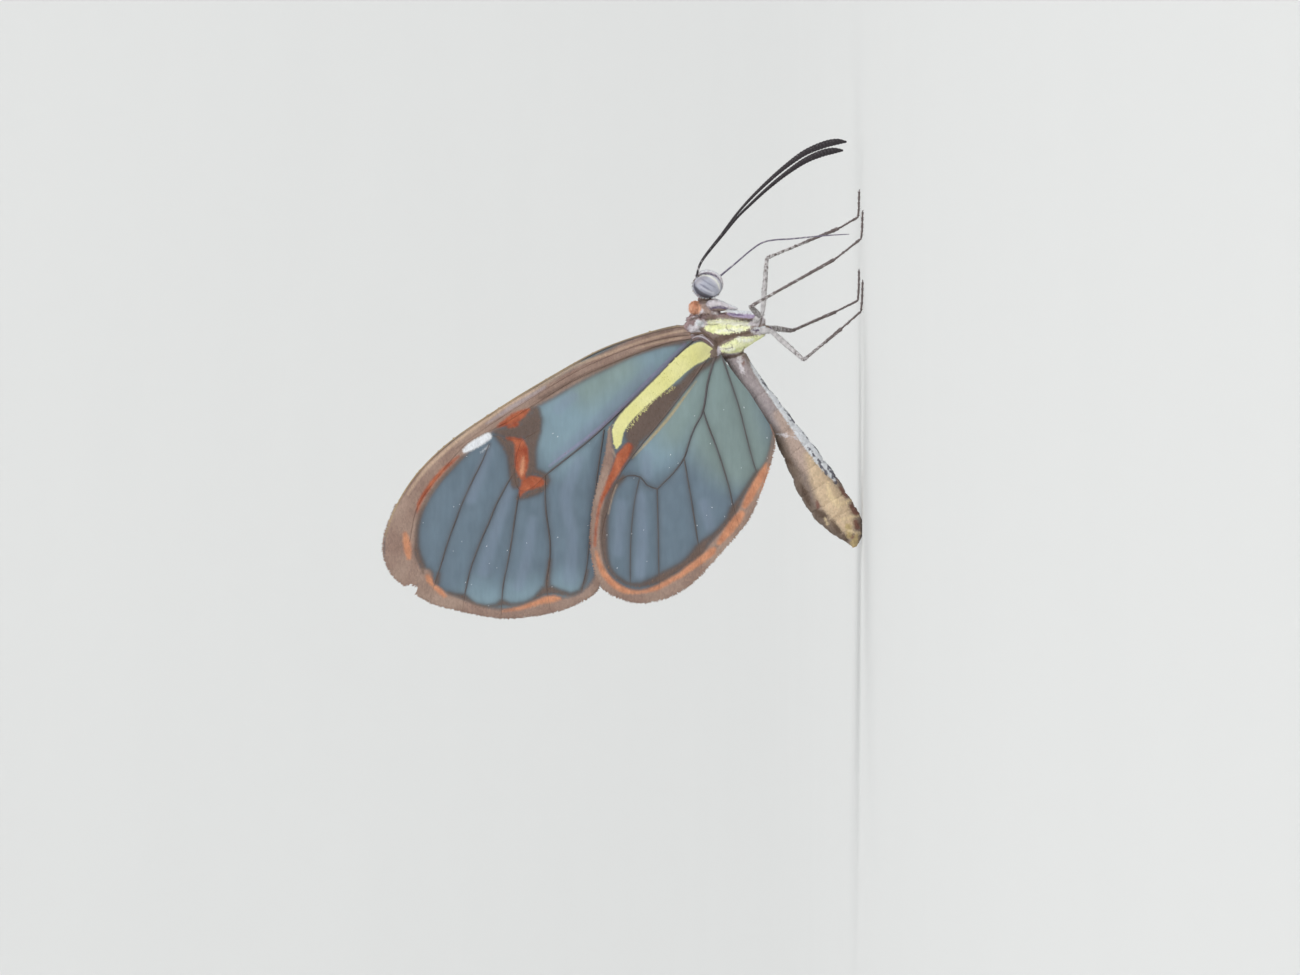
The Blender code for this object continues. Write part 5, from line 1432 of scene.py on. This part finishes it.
def wing_scales(kind, word, side):
    """Flat scales over the coloured parts of both faces, with a sparse white dusting on the clear parts."""
    wing = WINGS[kind]
    draw = np.random.default_rng(wing["seed"])
    outline = closed_outline(wing["stretches"], 0.3)
    low, high = outline.min(axis=0), outline.max(axis=0)
    count = int(np.prod(high - low) * settings().wing_scales)
    flat = draw.uniform(low, high, (count, 2))
    fields = wing_fields(flat, wing)
    bare = np.maximum.reduce(list(fields.values())) < MARKED_DEPTH
    kept = inside(flat, outline) & (~bare | (draw.random(count) < DUST_SHARE))
    flat, bare, fields = flat[kept], bare[kept], {name: values[kept] for name, values in fields.items()}
    fields["white"] = np.where(bare, 1.0, fields["white"])
    count = len(flat)
    lean = normalised(flat - np.array(wing["root"])) + draw.normal(0, 0.18, (count, 2))
    outer_face = draw.random(count) < 0.5
    length = WING_SCALE_LENGTH * draw.uniform(0.6, 1.25, count) * np.where(bare, draw.uniform(0.5, 1.0, count), 1.0)
    width = np.where(bare, DUST_WIDTH, WING_SCALE_WIDTH)
    lift = 0.04 + 0.11 * draw.random(count)
    return wing_tufts(f"{kind}_scales_{word}", wing, word, side, flat, lean, outer_face, fields, length, width, lift)


def wing_fringe(kind, word, side):
    """Narrow scales that stand out along the wing's outer edge."""
    wing = WINGS[kind]
    draw = np.random.default_rng(wing["seed"] + 10)
    lines, outs = [], []
    for stretch in wing["fringe"]:
        line = smooth_path(stretch, 0.022)
        along_edge = np.gradient(line, axis=0)
        out = normalised(np.column_stack([along_edge[:, 1], -along_edge[:, 0]]))
        out *= np.sign(np.sum(out * (line - np.array(wing["root"])), axis=1))[:, None]
        lines.append(line)
        outs.append(out)
    line, out = np.vstack(lines), np.vstack(outs)
    flat = line - out * draw.uniform(0.0, 0.08, (len(line), 1))
    lean = out + draw.normal(0, 0.22, flat.shape)
    length = settings().fringe * draw.uniform(0.6, 1.3, len(flat))
    outer_face = draw.random(len(flat)) < 0.5
    fields = wing_fields(line - out * 0.12, wing)
    return wing_tufts(f"{kind}_fringe_{word}", wing, word, side, flat, lean, outer_face, fields, length, 0.04, 0.0)


def yellow_hairs(word, side):
    """Short pale scales that stand across the yellow band's lower edge, on both faces of the hindwing."""
    wing = WINGS["hindwing"]
    draw = np.random.default_rng(SEEDS["hairs"])
    line = smooth_path(YELLOW_EDGE, 0.012)
    step = np.gradient(line, axis=0)
    across = normalised(np.column_stack([-step[:, 1], step[:, 0]]))
    across *= -np.sign(across[:, :1] + across[:, 1:])
    flat = line + across * draw.uniform(-0.12, 0.06, (len(line), 1))
    lean = across + draw.normal(0, 0.35, flat.shape)
    fields = wing_fields(flat, wing)
    fields["yellow"] = np.where(draw.random(len(flat)) < 0.75, 1.0, -1.0)
    outer_face = draw.random(len(flat)) < 0.5
    length = draw.uniform(0.10, 0.24, len(flat))
    return wing_tufts(f"hindwing_hairs_{word}", wing, word, side, flat, lean, outer_face, fields, length, 0.028, 0.2)


# Body

# The fine pale line along the middle of the back: above this height, behind this x, and its half width
BACK_HEIGHT = 10.6
BACK_END = 3.9
BACK_LINE = 0.06
RING_LINE = 0.03


def body_fields(places):
    """The depth of each marking on the body, with the line along the back and the joints of the abdomen."""
    flat = places[:, [0, 2]]
    fields = {name: stroke_depth(flat, strokes) for name, strokes in BODY_MARKS.items()}
    back = (places[:, 2] > BACK_HEIGHT) & (places[:, 0] < BACK_END)
    middle = BACK_LINE - np.abs(places[:, 1])
    fields["pale"] = np.where(back, np.maximum(fields["pale"], middle), fields["pale"])
    length, _, _ = spine_place(places)
    fields["ring"] = RING_LINE - ring_gap(length)
    return fields


def unmarked(count):
    """Depths that leave places without a body marking, for some to be set afterwards."""
    return {name: np.full(count, OUTSIDE) for name in BODY_EDGES}


def spine_place(places):
    """Each place's length along the body's middle line, the line's direction there and the angle round it."""
    line = smooth_path(SPINE, 0.3)
    flat = places[:, [0, 2]]
    _, foot, length = nearest(flat, line)
    step = np.gradient(line, axis=0)
    index = np.clip(np.searchsorted(lengths_along(line), length), 0, len(line) - 1)
    back = np.column_stack([step[index, 0], np.zeros(len(places)), step[index, 1]])
    away = flat - foot
    up = np.linalg.norm(away, axis=1) * np.sign(away[:, 1] - 0.4 * away[:, 0] + 1e-9)
    return length, back, np.arctan2(places[:, 1], up)


def ring_gap(length):
    """How far each length along the body is from the nearest joint of the abdomen."""
    return np.min(np.abs(np.subtract.outer(length, np.array(RINGS))), axis=1)


def body_unwrap(places):
    length, _, angle = spine_place(places)
    return np.column_stack([angle / math.tau + 0.5, length / UNWRAP_LENGTH])


def copied_node(name):
    """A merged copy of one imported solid, in millimetres."""
    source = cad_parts[name]
    mesh = source.data.copy()
    made = bpy.data.objects.new(name + "_form", mesh)
    bpy.context.scene.collection.objects.link(made)
    mesh.transform(source.matrix_world)
    mesh.transform(Matrix.Scale(1 / MM, 4))
    mesh.materials.clear()
    return merged(made, 0.001)


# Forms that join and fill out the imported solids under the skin, as (x, y outwards, z) and radii
SKIN_FILL = [
    ((5.70, 0.0, 9.86), (0.72, 0.50, 0.84)),
    ((6.12, 0.0, 10.12), (0.40, 0.46, 0.46)),
    ((6.05, 0.0, 9.35), (0.34, 0.34, 0.34)),
    ((4.90, 0.0, 9.95), (0.45, 0.42, 0.46)),
    ((1.60, 0.0, 8.15), (0.80, 0.60, 0.72)),
    ((3.80, 0.0, 8.10), (0.35, 0.55, 1.60)),
    ((3.55, 0.0, 6.75), (0.50, 0.50, 0.42)),
    ((4.15, 0.0, 9.55), (0.45, 0.60, 0.60)),
    ((3.22, 1.00, 10.78), (0.38, 0.20, 0.50)),
    ((2.65, 0.78, 10.45), (0.50, 0.32, 0.50)),
    ((1.45, 0.85, 9.45), (0.48, 0.34, 0.50)),
    ((3.10, 0.40, 6.45), (0.24, 0.26, 0.75)),
]


def body_skin():
    """One skin over thorax, head and abdomen, with the joints between segments drawn in."""
    forms = [copied_node("thorax"), copied_node("abdomen")]
    for i, (centre, radii) in enumerate(SKIN_FILL):
        for side in SIDES.values() if centre[1] else (1,):
            forms.append(ball(f"fill_{i}", (centre[0], centre[1] * side, centre[2]), radii, 32, 16))
    skin = joined("body_skin", forms)
    skin.data.remesh_voxel_size = settings().voxel
    bpy.ops.object.voxel_remesh()
    apply_modifier(skin, "SMOOTH", factor=0.5, iterations=5)
    places = points_of(skin)
    normals = np.empty(len(skin.data.vertices) * 3)
    skin.data.vertices.foreach_get("normal", normals)
    length, _, _ = spine_place(places)
    joint = ring_gap(length)
    swell = RING_SWELL[0] * np.clip(joint / RING_SWELL[1], 0, 1) * (length > RINGS[0]) * (length < RINGS[-1])
    groove = JOINT_GROOVE[0] * np.exp(-((joint / JOINT_GROOVE[1]) ** 2))
    chest = length < CHEST_END
    flat = places[:, [0, 2]]
    seams = CHEST_SEAM[0] * np.clip(1 + stroke_depth(flat, CHEST_SEAMS) / CHEST_SEAM[1], 0, 1) * chest
    plates = CHEST_PLATE[0] * np.clip(stroke_depth(flat, BODY_MARKS["yellow"]) / CHEST_PLATE[1], 0, 1) * chest
    places += normals.reshape(-1, 3) * (swell - groove - seams + plates - COAT_DEPTH)[:, None]
    move_points(skin, places)
    set_fields(skin, body_fields(places))
    return skin


def body_scales(skin):
    """Short scales that lie back along the body, longer and looser round the neck and under the chest."""
    count = settings().body_scales
    places, normals = surface_samples(skin, count, SEEDS["skin"])
    draw = np.random.default_rng(SEEDS["body"])
    length, back, _ = spine_place(places)
    directions = laid(back + draw.normal(0, 0.15, (count, 3)), normals)
    loose = sum(share * np.clip(1 - np.abs(length - at) / reach, 0, 1) for at, reach, share in LOOSE_SCALES)
    size = settings().scale_length * draw.uniform(0.7, 1.3, count) * (1 + 0.8 * loose)
    lift = 0.10 + 0.35 * loose * draw.random(count) + 0.12 * draw.random(count)
    scales = tuft_mesh("body_coat", places, directions, normals, size, 0.065 - 0.025 * loose, lift)
    give_unwrap(scales, body_unwrap(places))
    give_fields(scales, body_fields(places))
    return finish_piece(scales, body_material(), "thorax_scales", smooth=0)


def collar_tuft():
    """The loose orange hairs behind the head."""
    draw = np.random.default_rng(SEEDS["collar"])
    count = COLLAR["hairs"]
    turn = draw.uniform(0, math.tau, count)
    tilt = np.arccos(draw.uniform(-0.1, 1.0, count))
    out = np.column_stack([np.sin(tilt) * np.cos(turn), np.sin(tilt) * np.sin(turn), np.cos(tilt)])
    centre, radii = COLLAR["centre"], COLLAR["radii"]
    roots = np.vstack([np.array(centre) * (1, side, 1) + out * radii for side in SIDES.values()])
    out = np.vstack([out, out])
    lie = laid(np.array([-0.8, 0.0, 0.25]) + draw.normal(0, 0.35, out.shape), out) + out * 0.25
    length = draw.uniform(0.14, 0.26, 2 * count)
    hairs = tuft_mesh("collar_coat", roots, lie, normalised(out), length, 0.03, 0.1)
    give_unwrap(hairs, body_unwrap(roots))
    fields = body_fields(roots)
    fields["orange"] = np.full(len(roots), 1.0)
    give_fields(hairs, fields)
    return finish_piece(hairs, body_material(), "thorax_scales", smooth=0)


def limb_coat(piece, name, line, count, seed, length, width, lift, fields_at, finish, slot, *nodes):
    """Short scales that lie along a limb, from its root to its tip."""
    places, normals = surface_samples(piece, count, seed)
    draw = np.random.default_rng(seed + 1)
    share, directions, angle = path_place(places, line)
    lie = laid(directions + draw.normal(0, 0.15, (count, 3)), normals)
    size = length * draw.uniform(0.7, 1.3, count)
    coat = tuft_mesh(name, places, lie, normals, size, width, lift * draw.uniform(0.4, 1.6, count), thickness=0.008)
    give_unwrap(coat, np.column_stack([angle / math.tau + 0.5, share]))
    give_fields(coat, fields_at(places, share))
    return finish_piece(coat, finish, slot, *nodes, smooth=0)


def eye(word, side):
    centre, radii = EYE["centre"], EYE["radii"]
    made = ball(f"eye_dome_{word}", (centre[0], centre[1] * side, centre[2]), radii, 96, 60)
    flat = points_of(made)[:, [0, 2]]
    set_fields(made, {name: stroke_depth(flat, strokes) for name, strokes in EYE_MARKS.items()})
    return finish_piece(made, eye_material(), "eye", f"eye_{word}", smooth=80)


def eye_fringe(word, side):
    """Short scales round the eye's edge, white but for the browner ones by the feeler's root."""
    draw = np.random.default_rng(SEEDS["eye"])
    count = EYE_SCALES
    turn = draw.uniform(0, math.tau, count)
    ring = np.column_stack([np.cos(turn), np.zeros(count), np.sin(turn)])
    centre, radii = np.array(EYE["centre"]), np.array(EYE["radii"])
    roots = (centre + ring * radii * draw.uniform(0.93, 0.99, (count, 1)) - (0.0, 0.14, 0.0)) * (1, side, 1)
    lean = ring + draw.normal(0, 0.30, ring.shape) + (0.0, 0.5 * side, 0.0)
    normals = np.tile([0.0, float(side), 0.0], (count, 1))
    length = draw.uniform(0.09, 0.18, count)
    scales = tuft_mesh(f"eye_fringe_{word}", roots, lean, normals, length, 0.035, 0.1)
    give_unwrap(scales, body_unwrap(roots))
    fields = unmarked(count)
    by_feeler = np.exp(-(((turn - 1.0) / 0.45) ** 2))
    fields["white"] = np.where(draw.random(count) < 0.9 - 0.7 * by_feeler, 1.0, -1.0)
    give_fields(scales, fields)
    return finish_piece(scales, body_material(), "head_scales", smooth=0)


def palp_fields(places, share):
    """Frosted scales, white along the front edge, with one plum stripe along the side."""
    fields = unmarked(len(places))
    fields["frost"] = np.full(len(places), 1.0)
    fields["white"] = stroke_depth(places[:, [0, 2]], [PALP_EDGE])
    fields["plum"] = stroke_depth(places[:, [0, 2]], [PALP_STREAK])
    return fields


def palp(word, side):
    line = outward(smooth_path(PALP, 0.05), side)
    made = tube(f"palp_{word}", line, 16)
    places = points_of(made)
    share, _, _ = path_place(places, line)
    set_fields(made, palp_fields(places, share))
    limb_coat(made, f"palp_coat_{word}", line, PALP_SCALES, SEEDS["palp"], 0.12, 0.045, 0.15,
              palp_fields, body_material(), "head_scales")
    return finish_piece(made, body_material(), "head_scales", smooth=60)


def foreleg(word, side):
    """The two folded joints of a brush-footed foreleg, flattened against the chest."""
    pieces = []
    for i, path in enumerate(FORELEG):
        line = outward(smooth_path(path, 0.06), side)
        made = tube(f"foreleg_joint_{word}_{i + 1}", line, 20)
        places = points_of(made)
        centre = np.array([place[1] for place in line]).mean()
        places[:, 1] = centre + (places[:, 1] - centre) * FORELEG_FLATNESS
        move_points(made, places)
        set_fields(made, body_fields(places))
        limb_coat(made, f"foreleg_coat_{word}_{i + 1}", line, FORELEG_SCALES, SEEDS["foreleg"] + i, 0.13, 0.05, 0.15,
                  lambda at, share: body_fields(at), body_material(), "leg", f"foreleg_{word}")
        pieces.append(finish_piece(made, body_material(), "leg", f"foreleg_{word}", smooth=60))
    return pieces


def with_length(piece, line, paleness):
    """Stores how far along its limb each point is, and how pale its scales are."""
    share, _, _ = path_place(points_of(piece), line)
    set_fields(piece, {"length": share * lengths_along(line[:, :3])[-1], "paleness": paleness(share)})


def dense(points, step):
    """A straight-sided path with points about one step apart."""
    path = []
    for a, b in zip(np.array(points), np.array(points)[1:]):
        spans = max(1, round(float(np.linalg.norm(b - a)) / step))
        path += [a + (b - a) * i / spans for i in range(spans)]
    return np.array([*path, points[-1]])


def leg_paleness(name, share):
    """Pale thighs, then darker and darker towards the foot."""
    return LEG_PALENESS[name] * np.clip(0.95 - 1.1 * share, 0.0, 1.0)


def leg(name, word, side):
    """Hip joint, thigh, shin with two spurs, five foot joints and two claws."""
    joints = outward(LEGS[name], side)
    parts = [
        joint_tube("hip", joints[0], joints[1], HIP_JOINT, 16),
        joint_tube("thigh", joints[1], joints[2], THIGH, 16),
        joint_tube("shin", joints[2], joints[3], SHIN, 16),
    ]
    for i in range(3, len(joints) - 1):
        parts.append(joint_tube(f"foot_{i - 2}", joints[i], joints[i + 1], FOOT_JOINT, 12))
    shin = (joints[3] - joints[2]) / np.linalg.norm(joints[3] - joints[2])
    toe = (joints[-1] - joints[-2]) / np.linalg.norm(joints[-1] - joints[-2])
    for turn in (-1, 1):
        sideways = np.cross(shin, [0.0, 0.0, 1.0]) * turn
        tip = joints[3] + shin * 0.16 + sideways * 0.14
        parts.append(joint_tube("spur", joints[3] - shin * 0.08, tip, SPUR, 8))
        hook = np.cross(toe, [0.0, 0.0, 1.0]) * turn
        claw = np.array([
            (*joints[-1], 0.03), (*(joints[-1] + toe * 0.07 + hook * 0.05), 0.025),
            (*(joints[-1] + toe * 0.12 + hook * 0.07 + (0.0, 0.0, -0.04)), 0.012),
        ])
        parts.append(tube("claw", smooth_path(claw, 0.03), 8))
    made = joined(f"{name}_skin", parts)
    line = dense(joints, 0.1)
    with_length(made, line, lambda share: leg_paleness(name, share))
    palette = colours()
    finish = limb_material("leg_scales", palette.leg, palette.leg_pale, 0.55, 2.0)
    length = lengths_along(line)[-1]
    limb_coat(made, f"{name}_coat", line, settings().leg_scales, SEEDS["leg"], 0.13, 0.035, 0.25,
              lambda at, share: {"length": share * length, "paleness": leg_paleness(name, share)}, finish, "leg", name)
    return finish_piece(made, finish, "leg", name, smooth=60)


# Rings for each millimetre of a feeler
FEELER_RINGS = 4.5


def feeler(word, side):
    """A ringed feeler that widens into its club."""
    line = outward(smooth_path(ANTENNAE[word], 0.05), side)
    line[:, 3] *= 1 + 0.06 * np.sin(math.tau * FEELER_RINGS * lengths_along(line[:, :3]))
    made = tube(f"feeler_{word}", line, 16)
    with_length(made, line, lambda share: np.clip(0.35 - share, 0.0, 0.3))
    palette = colours()
    finish = limb_material("feeler_rings", palette.feeler, palette.leg_pale, 0.42, FEELER_RINGS)
    return finish_piece(made, finish, "feeler", f"antenna_{word}", smooth=60)


def tongue():
    """The unrolled tongue: two half tubes with a groove between them."""
    line = smooth_path(TONGUE, 0.06)
    halves = []
    for side in SIDES.values():
        half = line.copy()
        half[:, 1] += side * half[:, 3] * 0.45
        half[:, 3] *= 0.62
        halves.append(tube("half", half, 12))
    made = joined("tongue", halves)
    with_length(made, line, lambda share: np.full(len(share), 0.2))
    palette = colours()
    finish = limb_material("tongue_skin", palette.tongue, palette.leg_pale, 0.4, 9.0)
    return finish_piece(made, finish, "feeler", "proboscis", smooth=60)


# The pale and the dark ridge where the hindwing is hinged, as (x, y outwards, z, radius)
HINGE_RIDGES = [
    [(2.45, 1.34, 10.75, 0.02), (2.60, 1.40, 10.4, 0.035), (2.55, 1.42, 10.1, 0.04), (2.35, 1.38, 9.75, 0.035),
     (2.0, 1.28, 9.4, 0.02)],
    [(2.75, 1.05, 10.9, 0.03), (2.80, 1.22, 10.4, 0.06), (2.72, 1.28, 9.95, 0.065), (2.40, 1.26, 9.5, 0.06),
     (2.05, 1.20, 9.2, 0.03)],
]


def hinge(word, side):
    for i, path in enumerate(HINGE_RIDGES):
        line = outward(smooth_path(path, 0.06), side)
        made = tube(f"hinge_{word}_{i + 1}", line, 16)
        places = points_of(made)
        fields = unmarked(len(places))
        fields["dark" if i else "pale"] = np.full(len(places), 1.0)
        set_fields(made, fields)
        finish_piece(made, body_material(), "thorax_scales", smooth=60)


# Operators, one for each group of pieces

class BUTTERFLY_OT_wings(bpy.types.Operator):
    """Build both pairs of clear wings with their veins, scales and fringes"""

    bl_idname = "butterfly.wings"
    bl_label = "Wings"

    def execute(self, context):
        for kind in WINGS:
            for word, side in SIDES.items():
                wing_membrane(kind, word, side)
                wing_veins(kind, word, side)
                wing_scales(kind, word, side)
                wing_fringe(kind, word, side)
        for word, side in SIDES.items():
            yellow_hairs(word, side)
        return {"FINISHED"}


class BUTTERFLY_OT_body(bpy.types.Operator):
    """Build the body's skin with its scales, collar and wing hinges"""

    bl_idname = "butterfly.body"
    bl_label = "Body"

    def execute(self, context):
        skin = body_skin()
        body_scales(skin)
        collar_tuft()
        for word, side in SIDES.items():
            hinge(word, side)
        finish_piece(skin, body_material(), "thorax_scales", "thorax", "head", "abdomen", smooth=60)
        return {"FINISHED"}


class BUTTERFLY_OT_head(bpy.types.Operator):
    """Build the two striped eyes, the palps and the tongue"""

    bl_idname = "butterfly.head"
    bl_label = "Eyes and mouth"

    def execute(self, context):
        for word, side in SIDES.items():
            eye(word, side)
            eye_fringe(word, side)
            palp(word, side)
        tongue()
        return {"FINISHED"}


class BUTTERFLY_OT_feelers(bpy.types.Operator):
    """Build the two clubbed feelers"""

    bl_idname = "butterfly.feelers"
    bl_label = "Feelers"

    def execute(self, context):
        for word, side in SIDES.items():
            feeler(word, side)
        return {"FINISHED"}


class BUTTERFLY_OT_legs(bpy.types.Operator):
    """Build the four walking legs and the two folded forelegs"""

    bl_idname = "butterfly.legs"
    bl_label = "Legs"

    def execute(self, context):
        for name in LEGS:
            word = name.split("_")[1]
            leg(name, word, SIDES[word])
        for word, side in SIDES.items():
            foreleg(word, side)
        return {"FINISHED"}


# The stage's sweep in metres and degrees, and its lamps as (place, width in metres, watts)
FLAT_RADIUS = 0.5
SWEEP_RADIUS = 2.5
SWEEP_STEPS = 14
SWEEP_TURN = 78
LAMPS = {
    "key": ((1.1, -1.3, 1.5), 1.2, 24.0),
    "fill": ((-1.5, -1.2, 1.0), 1.4, 9.0),
    "back": ((0.3, 1.6, 1.5), 1.2, 11.0),
}
LAMP_AIM = (0.0, 0.0, 0.01)
SKY_COLOUR = (0.94, 0.97, 1.0, 1.0)
SKY_STRENGTH = 0.62


def studio_floor():
    """A round floor that sweeps up on every side, so that no edge of it is seen."""
    deselect()
    bpy.ops.mesh.primitive_circle_add(vertices=96, radius=FLAT_RADIUS, fill_type="TRIFAN")
    floor = added("floor")
    bpy.ops.object.mode_set(mode="EDIT")
    bpy.ops.mesh.select_all(action="DESELECT")
    bpy.ops.object.mode_set(mode="OBJECT")
    for edge in floor.data.edges:
        edge.select = all((floor.data.vertices[i].co.xy.length > FLAT_RADIUS * 0.99) for i in edge.vertices)
    bpy.ops.object.mode_set(mode="EDIT")
    bpy.ops.mesh.select_mode(type="EDGE")
    radius, height = FLAT_RADIUS, 0.0
    for i in range(1, SWEEP_STEPS + 1):
        turn = math.radians(SWEEP_TURN) * i / SWEEP_STEPS
        wider = FLAT_RADIUS + SWEEP_RADIUS * math.sin(turn)
        higher = SWEEP_RADIUS * (1 - math.cos(turn))
        bpy.ops.mesh.extrude_edges_move(TRANSFORM_OT_translate={"value": (0, 0, higher - height)})
        bpy.ops.transform.resize(value=(wider / radius, wider / radius, 1), center_override=(0, 0, higher))
        radius, height = wider, higher
    bpy.ops.object.mode_set(mode="OBJECT")
    paint, tree, shader = material("floor", 0.9)
    grain = noise(tree, millimetre_coordinates(tree), 0.02, 2.0)
    base = toned(tree, colours().floor, scaled(tree, grain, 0.02, 0.99))
    tree.links.new(base, shader.inputs["Base Color"])
    floor.data.materials.append(paint)
    bpy.ops.object.shade_smooth_by_angle(angle=math.radians(80))


def studio_light(scene):
    world = bpy.data.worlds.new("studio")
    world.use_nodes = True
    background = world.node_tree.nodes["Background"]
    background.inputs["Color"].default_value = SKY_COLOUR
    background.inputs["Strength"].default_value = SKY_STRENGTH
    scene.world = world
    for name, (place, size, power) in LAMPS.items():
        lamp = bpy.data.lights.new(name, "AREA")
        lamp.size = size
        lamp.energy = power
        holder = bpy.data.objects.new(name, lamp)
        scene.collection.objects.link(holder)
        holder.location = place
        holder.rotation_euler = (Vector(LAMP_AIM) - Vector(place)).to_track_quat("-Z", "Y").to_euler()


def studio_camera(scene):
    """Level with the butterfly on its right, turned on its side as the photograph shows it."""
    lens = bpy.data.cameras.new("camera")
    lens.sensor_width = SENSOR_WIDTH
    lens.lens = SENSOR_WIDTH * CAMERA_DISTANCE / FRAME_WIDTH
    lens.clip_start = 0.01
    lens.clip_end = 50.0
    camera = bpy.data.objects.new("camera", lens)
    scene.collection.objects.link(camera)
    right, up, back = Vector((0, 0, -1)), Vector((1, 0, 0)), Vector((0, -1, 0))
    place = (Vector(CAMERA_AIM) + back * CAMERA_DISTANCE) * MM
    camera.matrix_world = Matrix.Translation(place) @ Matrix((right, up, back)).transposed().to_4x4()
    scene.camera = camera


class BUTTERFLY_OT_stage(bpy.types.Operator):
    """Build the pale floor, the soft lights and the camera"""

    bl_idname = "butterfly.stage"
    bl_label = "Stage"

    def execute(self, context):
        studio_floor()
        studio_light(context.scene)
        studio_camera(context.scene)
        context.scene.view_settings.view_transform = "Standard"
        return {"FINISHED"}


class BUTTERFLY_PT_panel(bpy.types.Panel):
    """Lists the pieces in the sidebar"""

    bl_idname = "BUTTERFLY_PT_panel"
    bl_label = "Clearwing Butterfly"
    bl_space_type = "VIEW_3D"
    bl_region_type = "UI"
    bl_category = "Butterfly"

    def draw(self, context):
        for operator in OPERATORS:
            self.layout.operator(operator.bl_idname)
        for group in (context.scene.butterfly_sizes, context.scene.butterfly_colours):
            for name in group.__annotations__:
                self.layout.prop(group, name)


OPERATORS = (
    BUTTERFLY_OT_stage,
    BUTTERFLY_OT_wings,
    BUTTERFLY_OT_body,
    BUTTERFLY_OT_head,
    BUTTERFLY_OT_feelers,
    BUTTERFLY_OT_legs,
)
CLASSES = (ButterflyColours, ButterflySizes, *OPERATORS, BUTTERFLY_PT_panel)


def register():
    for one in CLASSES:
        bpy.utils.register_class(one)
    bpy.types.Scene.butterfly_colours = PointerProperty(type=ButterflyColours)
    bpy.types.Scene.butterfly_sizes = PointerProperty(type=ButterflySizes)


def unregister():
    del bpy.types.Scene.butterfly_sizes
    del bpy.types.Scene.butterfly_colours
    for one in reversed(CLASSES):
        bpy.utils.unregister_class(one)


def main():
    register()
    bpy.ops.butterfly.stage()
    bpy.ops.butterfly.wings()
    bpy.ops.butterfly.body()
    bpy.ops.butterfly.head()
    bpy.ops.butterfly.feelers()
    bpy.ops.butterfly.legs()


if __name__ == "__main__":
    main()
